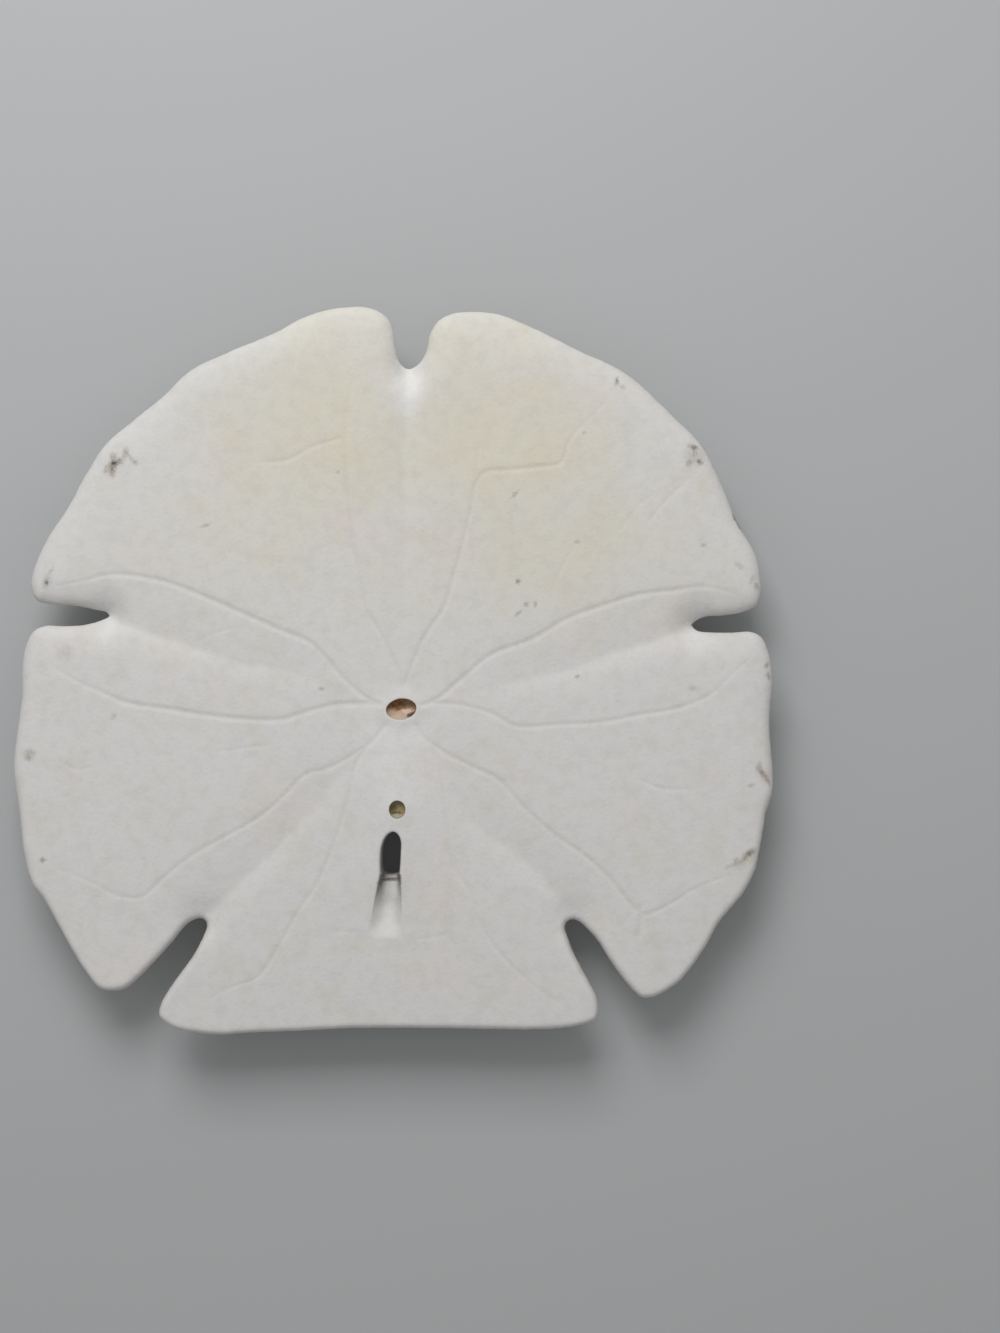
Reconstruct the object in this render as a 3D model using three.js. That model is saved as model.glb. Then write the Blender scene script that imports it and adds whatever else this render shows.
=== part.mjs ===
// Bleached test of an arrowhead sand dollar, lying on its domed back with the mouth side up.
//
// Millimetres. +X is across to the right, +Y points to the front notch and +Z is up. The origin is
// under the middle of the outline, at the height of the surface that the dome rests on.
//
// The test is one closed skin. An upper sheet (the flat mouth side) and a lower sheet (the domed
// back) are height functions over the same plan, and they meet halfway up the rounded rim of the
// edge and of the slot.

import * as THREE from 'three';

// Driving dimensions
const FULL_THICKNESS = 12.4;
const RIM_THICKNESS = 3.0;
const DOME_REACH = 59;
const DOME_TOP = new THREE.Vector2(0, -2.4);
const REST_FLAT_DEPTH = 0.25;
const DOME_RISE = FULL_THICKNESS - RIM_THICKNESS + REST_FLAT_DEPTH;
const RIM_REACH = 1.7;
const SLOT_RIM_REACH = 0.6;

// Broad relief of the mouth side
const DISH_DEPTH = 0.35;
const DISH_RADIUS = 26;
const SHOULDER_DEPTH = 0.8;
const SHOULDER_REACH = 4.8;
const SHOULDER_FADE = { rear: -52, front: 8 };
const FURROW_DEPTH = 0.75;
const FURROW_GENTLE_SIDE = 5.0;
const FURROW_STEEP_SIDE = 2.0;
const FURROW_EASE = 0.8;
const KEEL_HEIGHT = 0.55;
const KEEL_HALF_WIDTH = 6.5;
const KEEL_FRONT = new THREE.Vector2(1, -12);
const KEEL_REAR = new THREE.Vector2(-0.5, -30);

// Food grooves
const GROOVE_DEPTH = 0.2;
const GROOVE_HALF_WIDTH = 0.8;
const GROOVE_FADE = 3.0;

// Mouth, anus and slot
const MOUTH = { x: 1.3, y: -6.1, halfLength: 2.4, halfWidth: 1.65, tilt: 0.14, depth: 2.6, lip: 0.3 };
const ANUS = { x: 0.7, y: -21.9, halfLength: 1.35, halfWidth: 1.45, tilt: 0, depth: 1.9, lip: 0.12 };
const LIP_REACH = 1.1;
const SLOT_RAMP = {
  frontX: -0.45, rearX: -1.3, frontY: -32.4, length: 9.6, frontHalfWidth: 1.5, rearHalfWidth: 2.8,
  depth: 3.3, steepening: 1.9, foot: 0.2,
};

// Petals of the back
const PETAL_START = 8.4;
const PETAL_HALF_WIDTH = 4.6;
const PETAL_INNER_END = 0.06;
const PETAL_OUTER_END = 0.92;
const PETAL_FULLNESS = 0.8;
const PORE_ROW_DEPTH = 0.36;
const PORE_ROW_HALF_WIDTH = 1.2;
const PORE_ROW_FADE = 4.0;

// Spacing of the mesh points
const EDGE_STEP = 3.0;
const EDGE_LEAST_CUTS = 2;
const GROOVE_STEP = 1.4;
const FURROW_STEP = 2.2;
const PETAL_STEP = 1.8;
const OPEN_STEP = 3.8;
const OPEN_REACH = 65;
const OPEN_WOBBLE = 0.12;
const RIM_RINGS = { near: 0.42, inner: 1.75, shoulder: 4.2 };
const FURROW_ROW = 1.7;
const GENTLE_ROW = 4.3;
const SCOOP_RINGS = [[0.45, 6], [0.95, 9], [1.6, 11]];
const REST_CORNERS = 12;

// Least distance from a new mesh point to those already there
const CLEARANCE = {
  rim: 0.34, pit: 0.2, ramp: 0.3, groove: 0.55, scoop: 0.7, furrow: 0.9, rest: 0.3, petal: 0.7,
  inner: 1.1, shoulder: 1.7,
};

// Outline of the test, clockwise from the front notch, as seen from above
const FRONT_NOTCH = [
  [0.5, 48.7], [1.4, 47.7], [2.4, 47.2], [3.8, 47.8], [4.8, 48.7], [5.5, 50.4], [5.9, 52.8],
];
const RIGHT_FRONT_LOBE = [
  [6.4, 54.5], [7.6, 55.7], [9.3, 56.4], [11.7, 56.7], [16.6, 56.3], [22.8, 53.8], [29.4, 50.5],
  [35.5, 47.7], [39.4, 44.8], [44.8, 39.6], [48.6, 35.7], [51.8, 29.6], [54.4, 23.3], [57.4, 17.9],
  [58.1, 13.3], [58.0, 11.7], [57.4, 10.3],
];
const RIGHT_NOTCH = [
  [55.2, 9.2], [52.6, 8.7], [49.4, 8.5], [47.9, 7.8], [47.3, 7.2], [48.1, 6.3], [50.2, 6.0],
  [54.1, 6.0], [56.4, 6.1], [57.7, 5.6],
];
const RIGHT_SIDE_LOBE = [
  [58.8, 4.3], [59.9, -0.6], [59.5, -6.7], [59.5, -10.3], [60.0, -17.2], [59.7, -19.9],
  [58.8, -22.5], [58.4, -25.2], [57.0, -31.8], [55.3, -35.1], [51.5, -39.7], [49.1, -43.9],
  [45.6, -48.6], [43.5, -50.3], [41.7, -51.3], [40.1, -51.7], [39.1, -51.6], [38.0, -50.7],
  [35.1, -47.2], [32.3, -42.8], [30.9, -41.2], [29.6, -40.0],
];
const RIGHT_REAR_NOTCH = [
  [28.5, -39.5], [27.4, -39.9], [27.1, -40.8], [27.4, -41.9],
];
const REAR_LOBE = [
  [28.6, -44.9], [30.9, -49.2], [32.0, -51.4], [32.4, -53.3], [32.1, -54.9], [30.9, -55.6],
  [28.6, -56.2], [26.1, -56.5], [21.6, -56.7], [6.5, -56.5], [-5.6, -56.5], [-14.6, -56.9],
  [-22.6, -57.2], [-26.8, -57.5], [-30.5, -57.3], [-34.4, -56.5], [-36.1, -55.5], [-37.0, -54.4],
  [-36.7, -52.7], [-34.7, -49.3], [-31.9, -45.5], [-30.5, -43.0], [-30.0, -41.9],
];
const LEFT_REAR_NOTCH = [
  [-29.6, -40.7], [-29.8, -39.8], [-30.7, -39.3], [-32.5, -40.0],
];
const LEFT_SIDE_LOBE = [
  [-35.3, -43.3], [-38.3, -46.6], [-41.8, -49.9], [-43.2, -50.5], [-45.2, -50.5], [-46.6, -50.0],
  [-49.1, -46.8], [-52.2, -41.5], [-55.5, -35.7], [-57.0, -33.8], [-58.4, -28.7], [-59.2, -22.1],
  [-60.0, -16.0], [-59.9, -12.9], [-58.9, -5.0], [-58.6, 2.1], [-57.9, 4.6], [-56.9, 6.2],
];
const LEFT_NOTCH = [
  [-55.1, 7.0], [-52.2, 7.0], [-48.9, 7.2], [-46.6, 7.9], [-45.3, 8.7], [-45.7, 9.2],
  [-47.4, 9.6], [-50.3, 10.2], [-54.1, 10.5], [-56.4, 11.1],
];
const LEFT_FRONT_LOBE = [
  [-57.3, 13.1], [-56.9, 16.1], [-54.7, 20.9], [-51.5, 25.8], [-48.5, 31.3], [-45.5, 35.8],
  [-41.3, 39.4], [-36.5, 43.3], [-32.3, 47.3], [-27.1, 49.9], [-18.6, 53.5], [-15.5, 55.2],
  [-12.7, 56.4], [-10.0, 57.1], [-6.5, 57.5], [-4.1, 57.4], [-2.1, 56.6], [-0.7, 55.4],
  [0.0, 53.5], [0.2, 51.1],
];
const OUTLINE = [
  ...FRONT_NOTCH, ...RIGHT_FRONT_LOBE, ...RIGHT_NOTCH, ...RIGHT_SIDE_LOBE, ...RIGHT_REAR_NOTCH,
  ...REAR_LOBE, ...LEFT_REAR_NOTCH, ...LEFT_SIDE_LOBE, ...LEFT_NOTCH, ...LEFT_FRONT_LOBE,
];

// Narrowest section of the slot behind the anus, clockwise from its front end
const SLOT = [
  [-0.05, -25.6], [0.5, -25.85], [0.87, -26.4], [1.07, -27.2], [1.03, -28.9], [0.92, -31.0],
  [0.75, -32.15], [0.2, -32.5], [-0.5, -32.55], [-1.25, -32.5], [-1.7, -32.1], [-1.82, -31.0],
  [-1.8, -29.4], [-1.7, -28.1], [-1.38, -27.0], [-0.85, -26.1],
];

// The five rays of the test, front, right, right rear, left rear and left. Each has a furrow from the
// mouth to the inner end of its notch, the furrow's reach to the left and right of its way, the depth
// and radius to which the notch's end is scooped, and the length of its petal.
const RAYS = [
  {
    furrow: [[1.9, 2.0], [1.9, 20.0], [1.9, 34.0], [2.4, 47.2]],
    reach: { left: FURROW_STEEP_SIDE, right: FURROW_STEEP_SIDE },
    scoop: { depth: 1.5, radius: 2.3 }, petalLength: 26,
  },
  {
    furrow: [[10.6, -3.9], [20.0, -1.5], [27.8, 0.1], [34.1, 2.6], [40.4, 4.5], [47.3, 6.8]],
    reach: { left: FURROW_GENTLE_SIDE, right: FURROW_STEEP_SIDE },
    scoop: { depth: 1.0, radius: 2.8 }, petalLength: 24,
  },
  {
    furrow: [[5.6, -12.0], [12.9, -24.0], [20.1, -29.6], [25.0, -34.3], [28.2, -39.0]],
    reach: { left: FURROW_GENTLE_SIDE, right: FURROW_STEEP_SIDE },
    scoop: { depth: 0.7, radius: 2.8 }, petalLength: 26,
  },
  {
    furrow: [[-4.4, -12.0], [-11.4, -20.3], [-16.0, -25.4], [-22.4, -31.8], [-30.0, -39.4]],
    reach: { left: FURROW_STEEP_SIDE, right: FURROW_GENTLE_SIDE },
    scoop: { depth: 0.7, radius: 2.8 }, petalLength: 26,
  },
  {
    furrow: [[-8.3, -2.8], [-16.9, -0.1], [-25.5, 1.6], [-31.8, 3.8], [-36.5, 5.2], [-45.3, 8.2]],
    reach: { left: FURROW_STEEP_SIDE, right: FURROW_GENTLE_SIDE },
    scoop: { depth: 1.0, radius: 2.8 }, petalLength: 24,
  },
];

// Food grooves of the mouth side, each from near the mouth outwards
const FOOD_GROOVES = [
  // Front left groove and its side branch
  [[1.9, -1.0], [-2.0, 6.0], [-3.8, 8.9], [-5.8, 17.6], [-6.4, 21.3], [-7.6, 35.7], [-6.4, 45.3]],
  [[-8.4, 36.5], [-12.8, 35.1], [-17.5, 32.9], [-21.6, 32.7]],
  // Front right groove and its long side branch
  [[2.4, 0.1], [4.9, 5.5], [8.0, 9.9], [9.5, 14.7], [11.1, 20.4], [12.2, 25.2], [13.5, 30.4],
    [14.9, 31.3], [22.4, 32.0], [26.5, 32.8], [27.7, 36.1], [29.6, 38.3], [33.1, 41.8]],
  // Right grooves, before and behind the right notch
  [[6.4, -4.8], [10.5, -1.3], [15.5, 2.5], [21.8, 4.9], [27.5, 8.2], [33.0, 10.2], [38.6, 11.9],
    [44.1, 12.6], [48.5, 13.2], [53.6, 12.2]],
  [[7.4, -5.0], [12.1, -5.7], [16.0, -7.0], [19.2, -8.7], [26.4, -8.5], [32.9, -8.1], [39.3, -6.9],
    [44.9, -5.9], [49.8, -3.9], [53.0, -0.9], [55.8, 1.5]],
  // Left grooves, before and behind the left notch
  [[-3.8, -4.8], [-7.2, -1.6], [-10.5, 1.9], [-13.0, 4.4], [-17.6, 6.3], [-23.2, 8.8], [-29.6, 11.6],
    [-34.4, 13.5], [-39.2, 14.7], [-44.5, 15.1], [-49.6, 13.9], [-52.9, 13.3]],
  [[-3.6, -5.2], [-9.6, -5.5], [-13.6, -6.5], [-17.6, -7.7], [-24.0, -7.6], [-29.6, -7.0], [-35.2, -6.1],
    [-41.6, -5.1], [-46.1, -3.3], [-49.7, -1.7], [-52.6, 0.0]],
  // Rear grooves of the left side lobe and of the rear lobe
  [[-2.8, -10.4], [-6.4, -13.3], [-10.3, -15.4], [-13.9, -16.5], [-17.5, -20.1], [-21.5, -23.4],
    [-26.3, -26.1], [-31.9, -29.3], [-35.9, -32.5], [-39.5, -35.6], [-43.2, -35.5], [-47.3, -33.4],
    [-52.2, -31.4]],
  [[-3.6, -11.2], [-6.3, -15.7], [-6.9, -19.7], [-8.1, -23.7], [-10.1, -29.3], [-11.8, -33.3],
    [-15.0, -38.1], [-18.2, -43.8], [-21.4, -48.3], [-25.5, -49.9], [-28.7, -51.5]],
  // Rear grooves of the right side lobe and of the rear lobe
  [[4.8, -10.0], [8.0, -12.6], [12.6, -15.2], [16.5, -17.1], [20.6, -21.5], [24.9, -25.4], [30.1, -29.1],
    [34.1, -32.7], [37.4, -36.7], [39.5, -38.4], [43.5, -36.8], [47.5, -34.4], [52.3, -32.5]],
  [[5.6, -10.8], [7.3, -14.8], [8.1, -19.7], [8.7, -24.4], [9.6, -30.8], [12.1, -34.8], [13.6, -39.7],
    [16.8, -44.4], [21.6, -49.2], [26.2, -52.4]],
];

const point = ([x, y]) => new THREE.Vector2(x, y);

/** A smooth line through plan points, cut into steps of at most about the given length. */
function smoothLine(pairs, step, closed = false, leastCuts = 1) {
  const curve = new THREE.CatmullRomCurve3(
    pairs.map(([x, y]) => new THREE.Vector3(x, y, 0)), closed, 'centripetal');
  const spans = closed ? pairs.length : pairs.length - 1;
  const line = [];
  for (let i = 0; i < spans; i++) {
    const reach = point(pairs[i]).distanceTo(point(pairs[(i + 1) % pairs.length]));
    const cuts = Math.max(leastCuts, Math.round(reach / step));
    for (let k = 0; k < cuts; k++) {
      const place = curve.getPoint((i + k / cuts) / spans);
      line.push(new THREE.Vector2(place.x, place.y));
    }
  }
  if (!closed) {
    line.push(point(pairs.at(-1)));
  }
  return line;
}

/** Distance from a plan point to one straight piece, with how far along it the nearest place is. */
function toSegment(p, a, b) {
  const along = b.clone().sub(a);
  const t = THREE.MathUtils.clamp(p.clone().sub(a).dot(along) / along.lengthSq(), 0, 1);
  return { distance: p.distanceTo(a.clone().addScaledVector(along, t)), t };
}

const orient = (a, b, c) => (b.x - a.x) * (c.y - a.y) - (b.y - a.y) * (c.x - a.x);

/** The nearest place on an open line: its distance, its share of the way, and its side. */
function besideLine(p, line) {
  let nearest = { distance: Infinity };
  for (let i = 1; i < line.length; i++) {
    const { distance, t } = toSegment(p, line[i - 1], line[i]);
    if (distance < nearest.distance) {
      const side = orient(line[i - 1], line[i], p) > 0 ? 'left' : 'right';
      nearest = { distance, share: (i - 1 + t) / (line.length - 1), side };
    }
  }
  return nearest;
}

function toLine(p, line, closed = false) {
  let nearest = Infinity;
  for (let i = closed ? 0 : 1; i < line.length; i++) {
    const before = line[(i + line.length - 1) % line.length];
    nearest = Math.min(nearest, toSegment(p, before, line[i]).distance);
  }
  return nearest;
}

function isWithin(p, loop) {
  let within = false;
  for (let i = 0, j = loop.length - 1; i < loop.length; j = i++) {
    const a = loop[i];
    const b = loop[j];
    if ((a.y > p.y) !== (b.y > p.y) && p.x < (b.x - a.x) * (p.y - a.y) / (b.y - a.y) + a.x) {
      within = !within;
    }
  }
  return within;
}

const edge = smoothLine(OUTLINE, EDGE_STEP, true, EDGE_LEAST_CUTS);
const slot = smoothLine(SLOT, EDGE_STEP, true, EDGE_LEAST_CUTS);
const grooves = FOOD_GROOVES.map((pairs) => smoothLine(pairs, GROOVE_STEP));
const furrows = RAYS.map((ray) => smoothLine(ray.furrow, FURROW_STEP));
const mouthCentre = new THREE.Vector2(MOUTH.x, MOUTH.y);

/** The two pore rows of a petal, as lines on the back. */
function poreRows(ray) {
  const axis = point(ray.furrow.at(-1)).sub(DOME_TOP).normalize();
  const side = new THREE.Vector2(-axis.y, axis.x);
  const steps = Math.round(ray.petalLength / PETAL_STEP);
  return [-1, 1].map((hand) => {
    const row = [];
    for (let i = 0; i <= steps; i++) {
      const t = i / steps;
      const bow = Math.sin(Math.PI * THREE.MathUtils.lerp(PETAL_INNER_END, PETAL_OUTER_END, t));
      const spread = PETAL_HALF_WIDTH * bow ** PETAL_FULLNESS;
      row.push(DOME_TOP.clone()
        .addScaledVector(axis, PETAL_START + ray.petalLength * t)
        .addScaledVector(side, hand * spread));
    }
    return row;
  });
}
const petals = RAYS.flatMap(poreRows);

/** How far out a point is in a pit, from 0 in its middle to 1 on its rim. */
function pitReach(p, pit) {
  const d = p.clone().sub(new THREE.Vector2(pit.x, pit.y)).rotateAround(new THREE.Vector2(), -pit.tilt);
  return Math.hypot(d.x / pit.halfLength, d.y / pit.halfWidth);
}

function pitDepth(p, pit) {
  const reach = pitReach(p, pit);
  if (reach < 1) {
    return pit.depth * (1 - reach ** 6) - pit.lip;
  }
  const beyond = (reach - 1) * pit.halfWidth / LIP_REACH;
  return -pit.lip * Math.exp(-beyond * beyond);
}

/** A place on the ramp: 0 to 1 along it, and -1 to 1 across it. */
function onSlotRamp(along, across) {
  const x = THREE.MathUtils.lerp(SLOT_RAMP.frontX, SLOT_RAMP.rearX, along);
  const halfWidth = THREE.MathUtils.lerp(SLOT_RAMP.frontHalfWidth, SLOT_RAMP.rearHalfWidth, along);
  return new THREE.Vector2(x + across * halfWidth, SLOT_RAMP.frontY - along * SLOT_RAMP.length);
}

/** The ramp behind the slot: a ledge at first, which then rises to the surface more and more. */
function slotRampDepth(p) {
  const behind = SLOT_RAMP.frontY - p.y;
  const along = THREE.MathUtils.clamp(behind / SLOT_RAMP.length, 0, 1);
  const middle = onSlotRamp(along, 0).x;
  const across = Math.abs(p.x - middle) / (onSlotRamp(along, 1).x - middle);
  if (behind < -SLOT_RAMP.foot || across > 1) {
    return 0;
  }
  const fall = behind < 0 ? 1 + behind / SLOT_RAMP.foot : 1 - along ** SLOT_RAMP.steepening;
  return SLOT_RAMP.depth * fall * (1 - across ** 4);
}

/** How deep a point lies in a set of lines cut as grooves, which fade out towards both their ends. */
function cutDepth(p, lines, depth, halfWidth, fade) {
  return Math.max(...lines.map((line) => {
    const across = Math.max(0, 1 - toLine(p, line) / halfWidth);
    const fromEnd = Math.min(p.distanceTo(line[0]), p.distanceTo(line.at(-1)));
    return depth * across * Math.min(1, fromEnd / fade);
  }));
}

/** Mouth side, before the rim is rounded. It bends down inside the rim, less and less to the rear. */
function upperHeight(p) {
  const fromShoulder = Math.min(1, toLine(p, edge, true) / SHOULDER_REACH);
  const shoulder = THREE.MathUtils.smoothstep(p.y, SHOULDER_FADE.rear, SHOULDER_FADE.front);
  let z = FULL_THICKNESS - SHOULDER_DEPTH * shoulder * (1 - fromShoulder) ** 2;
  const fromMouth = p.distanceTo(mouthCentre);
  z -= DISH_DEPTH * Math.exp(-((fromMouth / DISH_RADIUS) ** 2));
  RAYS.forEach(({ reach, scoop }, i) => {
    const { distance, share, side } = besideLine(p, furrows[i]);
    z -= FURROW_DEPTH * share ** FURROW_EASE * Math.exp(-((distance / reach[side]) ** 2));
    z -= scoop.depth * Math.exp(-((p.distanceTo(furrows[i].at(-1)) / scoop.radius) ** 2));
  });
  const keel = toSegment(p, KEEL_FRONT, KEEL_REAR);
  z += KEEL_HEIGHT * Math.exp(-((keel.distance / KEEL_HALF_WIDTH) ** 2));
  z -= cutDepth(p, grooves, GROOVE_DEPTH, GROOVE_HALF_WIDTH, GROOVE_FADE);
  return z - pitDepth(p, MOUTH) - pitDepth(p, ANUS) - slotRampDepth(p);
}

/** Domed back, before the rim is rounded. It is flat where it rests. */
function lowerHeight(p) {
  const t = Math.min(1, p.distanceTo(DOME_TOP) / DOME_REACH);
  const rise = DOME_RISE * (2 * t * t - t ** 4);
  const pores = cutDepth(p, petals, PORE_ROW_DEPTH, PORE_ROW_HALF_WIDTH, PORE_ROW_FADE);
  return Math.max(0, rise - REST_FLAT_DEPTH) + pores;
}

/** Share of the way from the open surface to the middle of the rim. */
function rimShare(p) {
  const share = (distance, reach) => {
    const inner = Math.max(0, 1 - distance / reach);
    return 1 - Math.sqrt(1 - inner * inner);
  };
  return Math.max(share(toLine(p, edge, true), RIM_REACH), share(toLine(p, slot, true), SLOT_RIM_REACH));
}

/** Points beside each of a loop's own points, on both sides of it. */
function insetRing(loop, distance) {
  const ring = [];
  loop.forEach((p, i) => {
    const before = loop[(i + loop.length - 1) % loop.length];
    const after = loop[(i + 1) % loop.length];
    const along = after.clone().sub(before).normalize();
    for (const hand of [-1, 1]) {
      ring.push(p.clone().add(new THREE.Vector2(-along.y, along.x).multiplyScalar(hand * distance)));
    }
  });
  return ring;
}

/** Points in rows beside a line, each row the given distance to the left of its way. */
function inRows(line, offsets) {
  return line.flatMap((p, i) => {
    const along = line[Math.min(i + 1, line.length - 1)].clone().sub(line[Math.max(i - 1, 0)]).normalize();
    const side = new THREE.Vector2(-along.y, along.x);
    return offsets.map((offset) => p.clone().addScaledVector(side, offset));
  });
}

const throughGroove = (line, halfWidth) => inRows(line, [0, -halfWidth, halfWidth]);

/** Points along a furrow, with one more row on each side that falls gently. */
function throughFurrow({ reach }, i) {
  const gentle = [['left', GENTLE_ROW], ['right', -GENTLE_ROW]]
    .filter(([side]) => reach[side] === FURROW_GENTLE_SIDE)
    .map(([, offset]) => offset);
  return inRows(furrows[i], [0, -FURROW_ROW, FURROW_ROW, ...gentle]);
}

function ring(centre, radius, corners) {
  return Array.from({ length: corners }, (_, i) => new THREE.Vector2(radius, 0)
    .rotateAround(new THREE.Vector2(), 2 * Math.PI * i / corners)
    .add(centre));
}

function scoopRings({ scoop }, i) {
  return SCOOP_RINGS.flatMap(([scale, corners]) => (
    ring(furrows[i].at(-1), scale * scoop.radius, corners)));
}

function pitRings(pit, count) {
  const rings = [[1, count], [0.86, count], [0.55, count / 2]];
  return rings.flatMap(([scale, corners]) => Array.from({ length: corners }, (_, i) => {
    const angle = 2 * Math.PI * i / corners;
    return new THREE.Vector2(pit.halfLength * Math.cos(angle), pit.halfWidth * Math.sin(angle))
      .multiplyScalar(scale)
      .rotateAround(new THREE.Vector2(), pit.tilt)
      .add(new THREE.Vector2(pit.x, pit.y));
  }));
}

function slotRampPoints() {
  const rows = [0.07, 0.2, 0.4, 0.6, 0.8, 1];
  return rows.flatMap((along) => [-1.03, -0.78, 0, 0.78, 1.03].map((across) => onSlotRamp(along, across)));
}

/** Evenly spread points in rows, each row shifted by half a step. */
function openPoints(step) {
  const points = [];
  const rise = step * Math.sqrt(3) / 2;
  const half = Math.ceil(OPEN_REACH / rise);
  for (let row = -half; row <= half; row++) {
    for (let column = -half; column <= half; column++) {
      const wobble = OPEN_WOBBLE * Math.sin(5.1 * row + 3.7 * column);
      points.push(new THREE.Vector2((column + (row % 2 ? 0.5 : 0)) * step + wobble, row * rise + wobble));
    }
  }
  return points;
}

/** Keeps the points that lie in the test and clear of every point already kept. */
function addClear(kept, points, clearance, rim) {
  for (const p of points) {
    if (!isWithin(p, edge) || isWithin(p, slot)) {
      continue;
    }
    if (Math.min(toLine(p, edge, true), toLine(p, slot, true)) < rim) {
      continue;
    }
    if (kept.every((other) => other.distanceTo(p) > clearance)) {
      kept.push(p);
    }
  }
}

/** One triangle with the circle through its corners. */
function circled(points, corners) {
  const [a, b, c] = corners.map((i) => points[i]);
  const double = 2 * orient(a, b, c);
  const ab = b.lengthSq() - a.lengthSq();
  const ac = c.lengthSq() - a.lengthSq();
  const centre = new THREE.Vector2(
    (ab * (c.y - a.y) - ac * (b.y - a.y)) / double, (ac * (b.x - a.x) - ab * (c.x - a.x)) / double);
  return { corners, centre, reach: centre.distanceToSquared(a) };
}

/** Delaunay triangles over plan points, made by adding one point at a time. */
function triangulate(points) {
  // Three far corners make a first triangle that holds every point
  const far = 4000;
  const all = [...points, point([-far, -far]), point([far, -far]), point([0, far])];
  const first = points.length;
  let triangles = [circled(all, [first, first + 1, first + 2])];
  points.forEach((p, index) => {
    const openEdges = new Map();
    const kept = [];
    for (const triangle of triangles) {
      if (p.distanceToSquared(triangle.centre) >= triangle.reach) {
        kept.push(triangle);
        continue;
      }
      triangle.corners.forEach((a, i) => {
        const b = triangle.corners[(i + 1) % 3];
        if (!openEdges.delete(`${b} ${a}`)) {
          openEdges.set(`${a} ${b}`, [a, b]);
        }
      });
    }
    for (const [a, b] of openEdges.values()) {
      kept.push(circled(all, [a, b, index]));
    }
    triangles = kept;
  });
  return triangles.map(({ corners }) => corners).filter((corners) => {
    if (Math.max(...corners) >= first) {
      return false;
    }
    const [a, b, c] = corners.map((i) => points[i]);
    const middle = a.clone().add(b).add(c).divideScalar(3);
    return isWithin(middle, edge) && !isWithin(middle, slot);
  });
}

/** Plan points of one sheet. The rim loops come first, in the same order in both sheets. */
function sheetPoints(details) {
  const kept = [...edge, ...slot];
  const { near, inner, shoulder } = RIM_RINGS;
  addClear(kept, [...insetRing(edge, near), ...insetRing(slot, near)], CLEARANCE.rim, near * 0.93);
  for (const { points, clearance, rim } of details) {
    addClear(kept, points, clearance, rim ?? near * 2);
  }
  addClear(kept, [...insetRing(edge, inner), ...insetRing(slot, inner)], CLEARANCE.inner, inner * 0.93);
  addClear(kept, insetRing(edge, shoulder), CLEARANCE.shoulder, shoulder * 0.93);
  addClear(kept, openPoints(OPEN_STEP), OPEN_STEP * 0.55, inner * 1.25);
  return kept;
}

const pitPoints = [...pitRings(MOUTH, 16), ...pitRings(ANUS, 12)];
const groovePoints = grooves.flatMap((line) => throughGroove(line, GROOVE_HALF_WIDTH));
const porePoints = petals.flatMap((line) => throughGroove(line, PORE_ROW_HALF_WIDTH));
const upperDetails = [
  { points: pitPoints, clearance: CLEARANCE.pit },
  { points: slotRampPoints(), clearance: CLEARANCE.ramp, rim: RIM_RINGS.near * 1.1 },
  { points: groovePoints, clearance: CLEARANCE.groove },
  { points: RAYS.flatMap(scoopRings), clearance: CLEARANCE.scoop },
  { points: RAYS.flatMap(throughFurrow), clearance: CLEARANCE.furrow },
];
const restRadius = DOME_REACH * Math.sqrt(REST_FLAT_DEPTH / 2 / DOME_RISE);
const lowerDetails = [
  { points: ring(DOME_TOP, restRadius, REST_CORNERS), clearance: CLEARANCE.rest },
  { points: porePoints, clearance: CLEARANCE.petal },
];

/** Triangles of one sheet as corner positions, with the rim rounded. */
function sheet(details, height, upwards) {
  const points = sheetPoints(details);
  const corners = points.map((p) => {
    const middle = (upperHeight(p) + lowerHeight(p)) / 2;
    return new THREE.Vector3(p.x, p.y, THREE.MathUtils.lerp(height(p), middle, rimShare(p)));
  });
  return triangulate(points).flatMap(([a, b, c]) => {
    const turnsLeft = orient(points[a], points[b], points[c]) > 0;
    const order = turnsLeft === upwards ? [a, b, c] : [a, c, b];
    return order.map((i) => corners[i]);
  });
}

const skin = [...sheet(upperDetails, upperHeight, true), ...sheet(lowerDetails, lowerHeight, false)];
const geometry = new THREE.BufferGeometry().setFromPoints(skin);
geometry.computeBoundingBox();
const middle = geometry.boundingBox.getCenter(new THREE.Vector3());
geometry.translate(-middle.x, -middle.y, -geometry.boundingBox.min.z);
geometry.computeVertexNormals();

const bleachedTest = new THREE.MeshStandardMaterial({ color: 0xdedbd0, roughness: 0.9, metalness: 0 });
const test = new THREE.Mesh(geometry, bleachedTest);
test.name = 'sand_dollar_test';

const sandDollar = new THREE.Group();
sandDollar.add(test);

export default sandDollar;
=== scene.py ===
import math

import bpy
import numpy as np
from bpy.props import FloatProperty, FloatVectorProperty, IntProperty, PointerProperty
from mathutils import Euler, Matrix, Vector, kdtree, noise
from mathutils.geometry import delaunay_2d_cdt


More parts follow.
